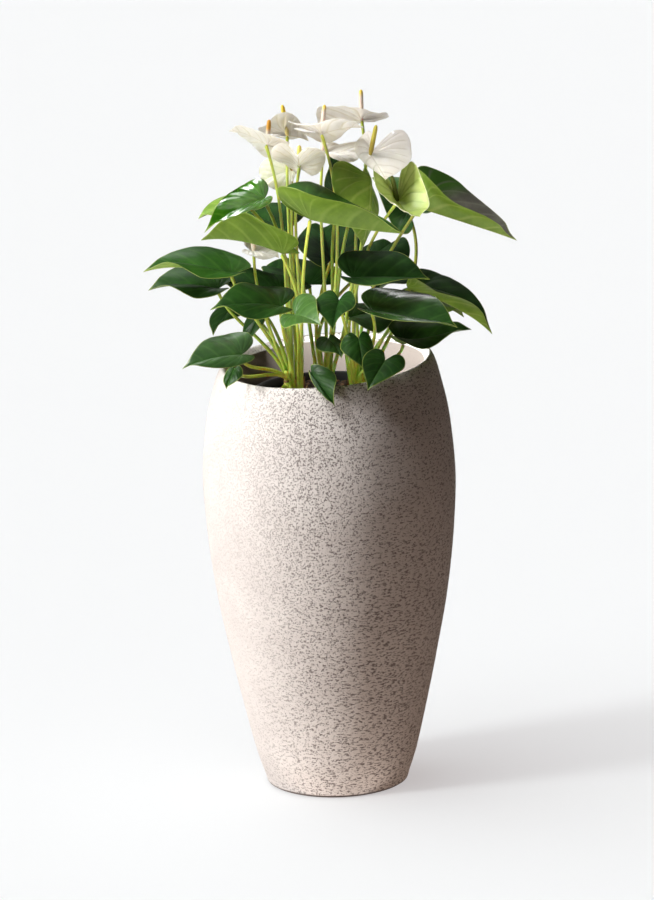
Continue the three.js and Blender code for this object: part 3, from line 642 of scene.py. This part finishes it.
def blade_half(blade, axes, outline, side, turns):
    """One half of a blade on the grid of turns and OUTS: its points and the values for its finish."""
    margin = np.array([outline["at"](turn) for turn in turns])
    x, y = margin[:, :1], margin[:, 1:]
    foot = np.maximum(0, x - outline["lag"] * y)
    out = OUTS[None, :]
    station = foot + (x - foot) * out
    pinch = 1 - blade.get("pinch", 0) * smoothstep(0, -0.5, station)
    share = y * out / outline["widest"] * pinch
    widest = midrib_points(blade, axes, outline, outline["widest_station"])
    across = (axes["right"] if side > 0 else axes["left"]) - widest
    face = unit(np.cross(across, axes["along"]) * side)
    reach = np.linalg.norm(across)
    turn = np.asarray(turns)[:, None]
    bow = blade["bow"] * 4 * share * (1 - share) * reach
    ripple = blade["wave"] * np.sin(TAU * blade["turns"] * turn + blade["phase"] + side)
    fade = out ** 2 * np.sin(np.pi * np.minimum(1, turn * 1.02))
    soft = 0.3 * smoothstep(0, 0.35, share)[..., None]
    points = midrib_points(blade, axes, outline, station, soft) + across * share[..., None]
    points = points + face * (bow + ripple * fade * axes["length"])[..., None]
    run = np.linalg.norm(points[:, -1] - points[:, 0], axis=1)[:, None]
    vein = turn - 0.055 * out ** 2 * np.sin(np.pi * turn)
    between = np.abs(np.sin(np.pi * (vein * blade["veins"] - 0.5)))
    swell = smoothstep(0.0, 0.22, out) * (1 - smoothstep(0.86, 1, out)) * np.minimum(1, run / 20)
    relief = blade["quilt"] * (between ** 0.7 - 0.6) * swell
    groove = -0.45 * np.exp(-(run * out / 1.3) ** 2) * smoothstep(0.0, 0.06, turn)
    crease = blade["crumple"] * (field(points, 17, blade["phase"]) + 0.4 * field(points, 8, 3.7))
    flow = np.stack([vein * 46, out * 2.5 + 0 * vein, blade["phase"] + 0 * vein], 2)
    crease = crease + 0.45 * blade["crumple"] * field(flow, 1)
    edge = 1.3 * blade["crumple"] * smoothstep(0.72, 1, out) * field(points, 12, 9.0)
    still = smoothstep(0, 0.25, out) * np.minimum(1, run / 12)
    points = points + face * (relief + (crease + edge) * still)[..., None]
    points = points + axes["up"] * groove[..., None]
    values = {
        "vein": np.stack([vein, out + 0 * vein, 0 * vein], 2),
        "reach": np.stack([run * out, run * (1 - out), station], 2),
    }
    return points, values


def close_sheet(sheet, faces, thickness):
    """The points of a sheet's two sides, then the faces of its underside and of its rim."""
    corners = np.array([face if len(face) == 4 else (*face, face[2]) for face in faces])
    p = sheet[corners]
    area = np.cross(p[:, 2] - p[:, 0], p[:, 3] - p[:, 1])
    normals = np.zeros_like(sheet)
    for k in range(4):
        np.add.at(normals, corners[:, k], area)
    shift = unit(normals) * thickness[:, None] / 2
    count = len(sheet)
    edges = {}
    for face in faces:
        for a, b in zip(face, face[1:] + face[:1]):
            if edges.pop((b, a), None) is None:
                edges[(a, b)] = True
    under = [tuple(k + count for k in face[::-1]) for face in faces]
    rim = [(b, a, a + count, b + count) for a, b in edges]
    return np.concatenate([sheet + shift, sheet - shift]), under, rim


def weld(points, faces):
    """Merges points in the same place. Returns the indices of the kept points, the faces between
    them, and for each face the points that its corners came from."""
    _, keep, index = np.unique(np.round(points, 3), axis=0, return_index=True, return_inverse=True)
    index = index.reshape(-1)
    joined = []
    sources = []
    for face in faces:
        corners = {}
        for k in face:
            corners.setdefault(int(index[k]), k)
        if len(corners) > 2:
            joined.append(tuple(corners))
            sources.append(tuple(corners.values()))
    return keep, joined, sources


def add_blade(node, blade, outline, finishes, turn_count):
    """One blade with a smooth top and underside, its veins raised and its margin closed. finishes
    names those of the top's right half, the underside and the top's left half."""
    axes = blade_frame(blade)
    turns = np.linspace(0, 1, turn_count)
    grids = [blade_half(blade, axes, outline, side, turns) for side in (1, -1)]
    points = np.concatenate([grid[0].reshape(-1, 3) for grid in grids])
    values = {key: np.concatenate([grid[1][key].reshape(-1, 3) for grid in grids])
              for key in ("vein", "reach")}
    half = turn_count * len(OUTS)
    faces = grid_faces(turn_count, len(OUTS))
    faces += [tuple(k + half for k in face[::-1]) for face in faces]
    keep, joined, sources = weld(points, faces)
    sheet = points[keep]
    thickness = BLADE_THICKNESS * (0.55 + 0.45 * smoothstep(0, 3, values["reach"][keep, 1]))
    solid, under, rim = close_sheet(sheet, joined, thickness)
    mesh = bpy.data.meshes.new(node)
    mesh.from_pydata((solid * MM).tolist(), [], joined + under + rim)
    for finish in finishes:
        mesh.materials.append(FINISHES[finish])
    tops = [2 if source[0] >= half else 0 for source in sources]
    mesh.polygons.foreach_set("material_index", tops + [1] * len(under) + [0] * len(rim))
    mesh.polygons.foreach_set("use_smooth", [True] * (2 * len(under)) + [False] * len(rim))
    upper_corners = np.concatenate([np.array(source) for source in sources])
    under_corners = np.concatenate([np.array(source[::-1]) for source in sources])
    for key, edge in (("vein", (0.25, 1, 0)), ("reach", (9, 0, 0))):
        rims = np.tile(edge, (4 * len(rim), 1))
        rows = np.concatenate([values[key][upper_corners], values[key][under_corners], rims])
        layer = mesh.attributes.new(key, "FLOAT_VECTOR", "CORNER")
        layer.data.foreach_set("vector", rows.reshape(-1))
    mesh.update()
    place_piece(mesh, node)


# Leaves: name, crown, root, tip, left, right, and then what is special about the leaf. The points mean
# what they do in the solids. finish names the top and the underside, and far the top's left half.
LEAVES = [
    ("glossy_left", "left", (-78, -42, 840), (-160, -115, 816), (-86, -82, 834), (-102, -10, 855),
     {"heel": (-62, -28, 844), "bend": (15, 5), "finish": ("bright", "under"), "quilt": 0.9}),
    ("pale_tip_left", "left", (-96, 15, 813), (-170, 30, 798), (-126, -8, 802), (-118, 60, 817),
     {"heel": (-78, 10, 820), "bend": (40, 0), "finish": ("olive", "under"), "young": True}),
    ("wavy_top", "left", (-16, -110, 827), (111, -95, 800), (-12, -45, 857), (-22, -142, 876),
     {"arch": -0.02, "hook": 0, "wave": 0.05, "phase": 2.2, "finish": ("green", "moss"), "young": True}),
    ("upright_dark", "middle", (28, 60, 805), (11, 62, 878), (6, 45, 835), (44, 75, 835),
     {"bend": (9, 0)}),
    # Its top takes the underside finish, paler than its own olive: painted light on a top that lies in
    # shade
    ("upright_light", "middle", (68, -28, 861), (53, -55, 769), (81, -8, 838), (24, -42, 857),
     {"heel": (54, -22, 887), "hook": 0, "finish": ("under", "under"), "young": True}),
    ("behind_funnel", "right", (118, 83, 786), (70, 143, 821), (100, 60, 768), (150, 120, 800),
     {"finish": ("green", "under"), "bend": (48, -15)}),
    # Its far half is painted grey for the sheen of glancing light
    ("top_right", "right", (132, 30, 804), (266, 10, 760), (182, 62, 810), (155, 5, 817),
     {"heel": (116, 33, 846), "hook": 0.1, "bend": (-23, 7), "finish": ("green", "under"), "far": "painted_sheen",
      "arch": 0, "wave": 0.015, "pinch": 0.7}),
    ("olive_left", "left", (-55, -70, 770), (-165, -60, 792), (-85, -105, 827), (-80, -25, 778),
     {"bend": (24, 0), "finish": ("moss", "moss"), "young": True}),
    ("back_left_high", "middle", (-48, 35, 772), (-110, 150, 770), (-90, 50, 768), (-15, 85, 790),
     {"heel": (-42, 22, 775), "finish": ("deep", "under_dark")}),
    ("far_left", "left", (-125, -40, 735), (-245, -60, 750), (-170, -75, 745), (-150, 15, 755),
     {"bend": (3, -9), "finish": ("green", "under")}),
    ("second_left", "left", (-145, 0, 705), (-240, -10, 710), (-180, -35, 705), (-170, 55, 722), {}),
    ("centre_left", "left", (-60, -85, 700), (-155, -125, 710), (-90, -125, 693), (-85, -40, 720),
     {"finish": ("dark", "under")}),
    ("behind_centre_left", "left", (-60, 10, 695), (-145, 35, 702), (-95, -20, 690), (-75, 60, 712),
     {"finish": ("deep", "under_dark")}),
    ("small_front", "left", (-40, -150, 705), (-5, -190, 700), (-18, -130, 727), (-55, -175, 695),
     {"finish": ("fresh", "under"), "young": True}),
    ("centre_heart", "right", (20, -120, 715), (10, -185, 690), (42, -145, 718), (-15, -130, 715),
     {"bend": (3, 9), "finish": ("deep", "under")}),
    ("curved_tip", "right", (40, -80, 735), (145, -70, 730), (65, -20, 760), (75, -120, 735),
     {"bend": (-14, -19), "finish": ("deep", "under"), "arch": 0}),
    ("back_right_low", "right", (72, 22, 688), (115, 150, 680), (48, 62, 698), (120, 48, 694),
     {"heel": (66, 8, 692), "finish": ("deep", "under_dark")}),
    ("right_drooping", "right", (115, 10, 695), (230, -10, 635), (155, 60, 703), (148, -40, 707),
     {"heel": (98, 14, 704), "bend": (9, 0), "arch": 0.05, "finish": ("dark", "under"), "wave": 0.01}),
    ("right_pale", "right", (115, 55, 668), (192, 62, 640), (150, 100, 665), (160, 20, 660),
     {"finish": ("olive", "under"), "young": True}),
    ("right_glossy", "right", (65, -110, 695), (180, -120, 675), (115, -55, 710), (100, -145, 690),
     {"bend": (16, 0), "finish": ("sheen", "under_dark"), "arch": 0, "wave": 0.015}),
    ("lower_right", "right", (105, -60, 635), (200, -20, 645), (125, 0, 641), (127, -92, 632),
     {"heel": (79, -72, 648), "arch": 0}),
    ("under_glossy", "right", (35, -60, 675), (95, 20, 655), (40, -10, 680), (75, -75, 660), {}),
    ("rim_right", "right", (80, -125, 630), (55, -165, 600), (105, -130, 620), (52, -120, 635), {}),
    ("dark_by_rim", "right", (45, -80, 650), (50, -120, 618), (65, -85, 642), (20, -90, 640), {}),
    ("rim_front", "middle", (-20, -130, 615), (10, -170, 580), (10, -150, 620), (-12, -155, 598), {}),
    ("lower_left", "left", (-115, -110, 640), (-195, -150, 635), (-130, -135, 628), (-135, -70, 660),
     {"finish": ("satin", "under")}),
    ("under_lower_left", "left", (-125, -115, 622), (-137, -137, 600), (-115, -128, 614),
     (-138, -118, 614), {}),
    ("curled_left", "left", (-110, 40, 680), (-155, 10, 637), (-118, 5, 665), (-145, 55, 662), {}),
    ("hanging_left", "left", (-85, -20, 675), (-105, -30, 635), (-85, -32, 660), (-108, -8, 660), {}),
    ("back_right_high", "middle", (60, 74, 711), (100, 190, 713), (38, 106, 715), (114, 98, 713),
     {"heel": (52, 60, 717), "bend": (-40, 29), "finish": ("deep", "under_dark")}),
    ("back_high", "middle", (10, 70, 722), (0, 200, 738), (-35, 95, 735), (55, 95, 735),
     {"bend": (-19, -26), "finish": ("deep", "under_dark")}),
    ("back_low", "middle", (-20, 65, 690), (-85, 170, 690), (-70, 70, 690), (15, 110, 700),
     {"finish": ("deep", "under_dark")}),
    ("dark_low", "middle", (5, -20, 635), (22, -55, 617), (25, -20, 628), (-12, -45, 628), {}),
]

# Blooms: as the leaves, with the free end of the spadix and the spadix's colour
BLOOMS = [
    ("one", "left", (-72, -30, 913), (-122, -40, 939), (-75, -68, 936), (-74, 8, 887),
     {"heel": (-41, -25, 903), "hook": 0.6, "top": (-68, -30, 948), "spadix": "orange", "bend": (13, 9),
      "wave": 0.02, "bow": 0.05}),
    ("two", "left", (-44, 50, 905), (-15, 52, 897), (-44, 80, 895), (-48, 25, 946),
     {"heel": (-82, 45, 905), "top": (-50, 45, 950), "spadix": "yellow", "pinch": 0.6, "bend": (0, -9)}),
    ("three", "middle", (3, -40, 928), (60, -45, 938), (14, 0, 907), (1, -78, 948),
     {"heel": (-39, -35, 934), "top": (8, -40, 969), "bend": (24, 0)}),
    ("four", "middle", (58, 48, 924), (-3, 35, 923), (26, 12, 956), (35, 85, 909),
     {"heel": (97, 58, 925), "bow": 0.05, "pinch": 0.8, "top": (58, 46, 968), "bend": (32, 0)}),
    ("five", "right", (68, -38, 897), (88, -66, 869), (118, -22, 892), (43, -26, 898),
     {"heel": (79, -14, 921), "bow": 0.05, "top": (77, -54, 942), "spadix": "olive", "bend": (-10, 30),
      "finish": ("chalk", "cream")}),
    ("six", "middle", (4, 30, 884), (56, 25, 881), (33, 62, 886), (27, -5, 876),
     {"heel": (-3, 35, 887), "top": (6, 30, 920), "finish": ("chalk", "cream")}),
    ("seven", "left", (-29, -45, 884), (-31, -88, 912), (5, -62, 907), (-67, -62, 912),
     {"heel": (-22, -2, 852), "top": (-28, -42, 914), "spadix": "lime"}),
    ("eight", "left", (-39, 50, 856), (-82, 32, 846), (-50, 16, 838), (-66, 75, 866),
     {"heel": (-28, 55, 858), "top": (-44, 50, 885), "finish": ("pale_lime", "pale_lime"),
      "spadix": "olive", "green": True, "bend": (-3, -9)}),
    ("nine", "right", (103, -38, 831), (133, -80, 820), (136, -46, 850), (72, -62, 857),
     {"heel": (98, -22, 872), "bow": -0.1, "arch": -0.1, "top": (96, -50, 870), "bend": (-32, 24),
      "finish": ("lime", "pale_lime"), "spadix": "green", "green": True}),
    ("ten", "left", (-94, 8, 753), (-60, 0, 747), (-83, 36, 758), (-89, -18, 750),
     {"heel": (-113, 10, 757), "top": (-97, 5, 780), "bend": (-12, -38), "spadix": "orange",
      "finish": ("chalk", "chalk")}),
]


def rows_of(table, form, seed):
    """The blades of a table as dictionaries, each with its own phase for the waves of its margin."""
    draw = seeded(seed)
    blades = []
    for name, crown, root, tip, left, right, special in table:
        blade = {**form, "phase": TAU * next(draw), "name": name, "crown": crown}
        blades.append({**blade, "root": root, "tip": tip, "left": left, "right": right, **special})
    return blades


LEAF_BLADES = rows_of(LEAVES, LEAF_FORM, 7)
BLOOM_BLADES = rows_of(BLOOMS, BLOOM_FORM, 23)


def make_leaves():
    for leaf in LEAF_BLADES:
        top, under = leaf.get("finish", ("dark", "under_dark"))
        finishes = (top, under, leaf.get("far", top))
        add_blade("leaf_" + leaf["name"], leaf, LEAF_OUTLINE, finishes, LEAF_ROWS)


SPADIX_RADIUS = 3.4
SPADIX_STEPS = 96
SPADIX_SIDES = 30


def make_blooms():
    """Spathes, and spadices with their tiny flowers in slanting rows."""
    for bloom in BLOOM_BLADES:
        top, under = bloom.get("finish", ("white", "cream"))
        add_blade("spathe_" + bloom["name"], bloom, SPATHE_OUTLINE, (top, under, top), SPATHE_ROWS)
        axes = blade_frame(bloom)
        foot = axes["root"] + axes["up"] * 0.3
        end = np.array(bloom["top"], float)
        middle = (foot + end) / 2 + axes["up"] * 2
        s = np.linspace(0, 1, SPADIX_STEPS)[:, None]
        centres = foot * (1 - s) ** 2 + middle * 2 * s * (1 - s) + end * s * s
        radius = SPADIX_RADIUS * np.minimum(1, 0.6 + 2.5 * s) * (1 - 0.12 * s)
        radius = radius * np.sqrt(np.maximum(0.02, 1 - s ** 14))
        turn = np.arange(SPADIX_SIDES) * TAU / SPADIX_SIDES
        rows = np.linalg.norm(end - foot) / 1.25
        beads = 0.5 + 0.5 * np.cos(8 * turn)[None, :] * np.cos(np.pi * rows * s)
        spadix = Shape()
        tube(spadix, centres, radius * (0.93 + 0.12 * beads), SPADIX_SIDES, tint=beads)
        finish = SPADICES[bloom.get("spadix", "cream")]
        spadix.piece("spadix_" + bloom["name"], [finish], "spadix")


# Shoots

CROWNS = {
    "left": {"at": (-40, -22), "height": 26},
    "middle": {"at": (-4, 18), "height": 32},
    "right": {"at": (38, -14), "height": 24},
}
CROWN_RADIUS = 11
CROWN_BURIED = 38
STALK_STEPS = 30
STALK_SIDES = 10
STRIP_ROWS = 14
STRIP_COLUMNS = 7


def stalk_line(blade, order, total):
    """The centre line of a stalk, which reaches the underside of its blade."""
    crown = CROWNS[blade["crown"]]
    axes = blade_frame(blade)
    x, y = crown["at"]
    angle = math.atan2(axes["root"][1] - y, axes["root"][0] - x) + 0.15 * (order % 3 - 1)
    outwards = np.array([math.cos(angle), math.sin(angle), 0])
    level = SOIL_TOP + (crown["height"] - 6) * (0.3 + 0.7 * order / total)
    start = np.array([x, y, level]) + outwards * (CROWN_RADIUS - 4)
    end = axes["root"] - axes["up"] * 3
    reach = np.linalg.norm(end - start)
    bend = np.array([*blade.get("bend", (0, 0)), 0])
    rise = start + outwards * reach * 0.06 + bend + (0, 0, reach * 0.42)
    meet = end - axes["up"] * reach * 0.12 - (0, 0, reach * 0.16) - outwards * reach * 0.08 + bend
    s = np.linspace(0, 1, STALK_STEPS)[:, None]
    line = start * (1 - s) ** 3 + rise * 3 * s * (1 - s) ** 2 + meet * 3 * s * s * (1 - s) + end * s ** 3
    return np.concatenate([line, [axes["root"] - axes["up"] * 0.9]])


def strip(shape, foot, heading, height, width, lean, slot):
    """A dry pointed sheath that stands at foot, curved round the shoot and leaning outwards."""
    x, y, z = foot
    points = []
    for s in np.linspace(0, 1, STRIP_ROWS):
        wide = width * (0.8 + 0.5 * s) * max(0.04, 1 - s ** 3)
        for t in np.linspace(-1, 1, STRIP_COLUMNS):
            out = lean * s * s - 0.35 * wide * t * t
            side = wide * t
            points.append((x + math.cos(heading) * out - math.sin(heading) * side,
                           y + math.sin(heading) * out + math.cos(heading) * side,
                           z + height * s - 2 * t * t * s))
    points = np.array(points)
    points += 0.5 * np.stack([field(points, 6, seed) for seed in (1.0, 5.0, 9.0)], 1)
    faces = grid_faces(STRIP_ROWS, STRIP_COLUMNS)
    solid, under, rim = close_sheet(points, faces, np.full(len(points), 0.7))
    shape.join(solid, faces + under + rim, slot)


def crown_body(shape, crown):
    """The short thick stem, ringed by the scars of its old leaves."""
    x, y = crown["at"]
    low = SOIL_TOP - CROWN_BURIED + 0.7
    top = SOIL_TOP + crown["height"]
    profile = [(CROWN_RADIUS - 2, low), (CROWN_RADIUS, low + 4)]
    for z in np.linspace(low + 8, top - 5, 34):
        ring = 0.5 * abs(math.sin(z * 0.55))
        taper = smoothstep(SOIL_TOP, top, z) * 3
        profile.append((CROWN_RADIUS - 0.5 - taper + ring, z))
    profile += [(CROWN_RADIUS - 5, top - 1), (2, top)]
    points, faces = lathe(profile, 30)
    points += 0.5 * field(points, 5, 3.0)[:, None] * (1, 1, 0.3)
    shape.join(points + (x, y, 0), faces, 1)


def add_stump(shape):
    """The cut end of an old stalk with its brown ring, and a small bract that curls at its foot."""
    line = np.array([(-56, -36, 552), (-55.5, -37, 568), (-55, -38, 580), (-55, -38, 583),
                     (-54.5, -38.5, 596)])
    tube(shape, line[:3], [4.2, 3.6, 3.3], 16, tint=1.0)
    tube(shape, line[2:4], [3.7, 3.7], 16, slot=1)
    tube(shape, line[3:], [3.2, 2.9], 16, tint=1.0)
    heading = math.radians(-100)
    strip(shape, (-56, -42, 556), heading, 26, 9, 12, 0)


def make_shoots():
    draw = seeded(57)
    for side, crown in CROWNS.items():
        shape = Shape()
        crown_body(shape, crown)
        # Bloom stalks take their tint from 0.7 up, a paler yellow-green: their own colour, with painted
        # light where the spathes shade them
        for blades, low, high, least in ((LEAF_BLADES, 2.8, 2.1, 0.1), (BLOOM_BLADES, 2.7, 1.9, 0.7)):
            own = [blade for blade in blades if blade["crown"] == side]
            for order, blade in enumerate(own):
                line = stalk_line(blade, order, len(own))
                s = np.linspace(0, 1, len(line))
                radii = low + (high - low) * s
                radii += 1.6 * np.exp(-(s / 0.035) ** 2) + 0.45 * smoothstep(0.9, 0.96, s)
                radii[-1] *= 0.6
                tube(shape, line, radii, STALK_SIDES, tint=least + (1 - least) * next(draw))
        if side == "left":
            add_stump(shape)
        x, y = crown["at"]
        for k in range(6):
            heading = TAU * (k + 0.5 * next(draw)) / 6
            foot = (x + 9.5 * math.cos(heading), y + 9.5 * math.sin(heading), SOIL_TOP - 1)
            strip(shape, foot, heading, 26 + 26 * next(draw), 5, 2 + 4 * next(draw), 1)
        shape.piece("shoot_" + side, [STALK, HUSK], "stalk")


# The set, the light and the camera

CAMERA_TILT = math.radians(15.6)
CAMERA_ROLL = math.radians(1.63)
CAMERA_DISTANCE = 14
CAMERA_LENS = 561
SENSOR_WIDTH = 36
CAMERA_AIM = (-0.0022, 0, 0.4716)


def make_camera():
    right = Vector((1, 0, 0))
    up = Vector((0, math.sin(CAMERA_TILT), math.cos(CAMERA_TILT)))
    back = Vector((0, -math.cos(CAMERA_TILT), math.sin(CAMERA_TILT)))
    x = right * math.cos(CAMERA_ROLL) - up * math.sin(CAMERA_ROLL)
    y = up * math.cos(CAMERA_ROLL) + right * math.sin(CAMERA_ROLL)
    data = bpy.data.cameras.new("camera")
    data.sensor_fit = "HORIZONTAL"
    data.sensor_width = SENSOR_WIDTH
    data.lens = CAMERA_LENS
    data.clip_end = 100
    camera = bpy.data.objects.new("camera", data)
    rotation = Matrix((x, y, back)).transposed().to_4x4()
    camera.matrix_world = Matrix.Translation(Vector(CAMERA_AIM) + back * CAMERA_DISTANCE) @ rotation
    bpy.context.scene.collection.objects.link(camera)
    bpy.context.scene.camera = camera


def add_sun(name, azimuth, elevation, strength, spread, colour):
    """A soft distant light. azimuth is its angle to the left of the camera."""
    a, e = math.radians(azimuth), math.radians(elevation)
    towards = Vector((-math.sin(a) * math.cos(e), -math.cos(a) * math.cos(e), math.sin(e)))
    data = bpy.data.lights.new(name, "SUN")
    data.energy = strength
    data.angle = math.radians(spread)
    data.color = colour
    sun = bpy.data.objects.new(name, data)
    sun.rotation_euler = towards.to_track_quat("Z", "Y").to_euler()
    bpy.context.scene.collection.objects.link(sun)
    return sun


def add_board(name, place, facing, size, power, colour):
    """A square white board that gives soft light and isn't seen itself."""
    data = bpy.data.lights.new(name, "AREA")
    data.shape = "SQUARE"
    data.size = size
    data.energy = power
    data.color = colour
    board = bpy.data.objects.new(name, data)
    board.location = place
    board.rotation_euler = Vector(facing).to_track_quat("-Z", "Y").to_euler()
    board.visible_camera = False
    bpy.context.scene.collection.objects.link(board)
    return board


def link_group(name, things, state="INCLUDE"):
    """A collection of the things that a light reaches or, with EXCLUDE, leaves out."""
    group = bpy.data.collections.new(name)
    for place, thing in enumerate(things):
        group.objects.link(thing)
        group.collection_objects[place].light_linking.link_state = state
    return group


def pieces(*nodes):
    """The pieces that stand for these nodes."""
    return [bpy.data.objects[node + "_piece"] for node in nodes]


FLOOR_REACH = 15
WHITE = (1.0, 1.0, 1.0)

# Each sun's azimuth, elevation, strength, spread and colour
SUNS = {
    "key": (70, 20, 2.75, 14, (1.0, 0.995, 0.985)),
    "top": (67, 60, 3.4, 24, WHITE),
    "dome": (95, 66, 2.55, 70, WHITE),
    "sheen": (176, 46, 0.5, 26, WHITE),
    "bounce": (70, -42, 0.5, 80, (1.0, 0.93, 0.87)),
    "fill": (-68, -4, 1.8, 60, (1.0, 0.96, 0.90)),
}

# Each board's place, the way it faces, its width in metres, its power and its colour
BOARDS = {
    "board": ((-0.25, -0.8, 0.62), (0, 0, 1), 1.1, 12, (1.0, 0.96, 0.90)),
    "low_board": ((0.5, -0.25, 0.004), (0, 0, 1), 0.9, 0.6, (1.0, 0.70, 0.54)),
    "front_board": ((-0.1, -0.8, 0.004), (0, 0, 1), 0.9, 0.75, (1.0, 0.84, 0.74)),
    "foot_board": ((-0.01, -0.19, 0.004), (0, 0, 1), 0.2, 0.11, (1.0, 0.87, 0.79)),
    "inner_board": ((-0.09, -0.02, 0.575), (1, -0.05, 0.05), 0.06, 2.0, (0.96, 1.0, 1.0)),
}

# Suns that only make one leaf shine: the azimuth, elevation, strength and spread of each
GLARES = {
    "leaf_glossy_left": (172, 50, 0.9, 14),
    "leaf_lower_left": (202, 60, 1.0, 34),
    "leaf_right_glossy": (190, 43, 0.7, 30),
}


def make_lights(floor):
    """The suns and boards, each kept to the pieces that it is there for."""
    suns = {name: add_sun(name, *row).light_linking for name, row in SUNS.items()}
    bpy.data.objects["sheen"].visible_diffuse = False
    suns["top"].receiver_collection = link_group("top_leaves_out", [floor], "EXCLUDE")
    passed = pieces("leaf_lower_left", "leaf_under_lower_left")
    suns["top"].blocker_collection = link_group("top_passes", passed, "EXCLUDE")
    suns["dome"].receiver_collection = link_group("dome_lit", [floor])
    spathes = pieces(*("spathe_" + bloom["name"] for bloom in BLOOM_BLADES))
    suns["fill"].receiver_collection = link_group("fill_lit", spathes)
    alone = {add_sun("glare_" + leaf, *row, WHITE): leaf for leaf, row in GLARES.items()}
    for glare in alone:
        glare.visible_diffuse = False
    boards = {name: add_board(name, *row) for name, row in BOARDS.items()}
    alone[boards["inner_board"]] = "planter"
    for light, node in alone.items():
        group = link_group(light.name + "_lit", pieces(node))
        light.light_linking.receiver_collection = group
        light.light_linking.blocker_collection = group


def make_floor():
    """A wide plain floor that throws no light back on the plant."""
    mesh = bpy.data.meshes.new("floor")
    corners = [(FLOOR_REACH * x, FLOOR_REACH * y, 0) for x, y in ((-1, -1), (1, -1), (1, 1), (-1, 1))]
    mesh.from_pydata(corners, [], [(0, 1, 2, 3)])
    mesh.materials.append(floor_material())
    floor = bpy.data.objects.new("floor", mesh)
    floor.visible_diffuse = False
    floor.visible_shadow = False
    bpy.context.scene.collection.objects.link(floor)
    return floor


def make_world():
    """Pale light from all round, stronger from below on the left."""
    world = bpy.data.worlds.new("world")
    world.use_nodes = True
    tree = world.node_tree
    background = tree.nodes["Background"]
    towards = add(tree, "ShaderNodeTexCoord").outputs["Generated"]
    parts = add(tree, "ShaderNodeSeparateXYZ", Vector=towards).outputs
    below = remap(tree, parts[2], 0.05, -0.5)
    side = remap(tree, parts[0], -0.9, 0.5, 0.32, 0.03)
    strength = calc(tree, "ADD", calc(tree, "MULTIPLY", below, side), 0.05)
    tree.links.new(strength, background.inputs["Strength"])
    background.inputs["Color"].default_value = (1.0, 0.75, 0.635, 1)
    bpy.context.scene.world = world
    bpy.context.scene.view_settings.view_transform = "Standard"


make_planter()
make_nursery_pot()
make_soil()
finish_riser()
make_shoots()
make_leaves()
make_blooms()
make_lights(make_floor())
make_world()
make_camera()
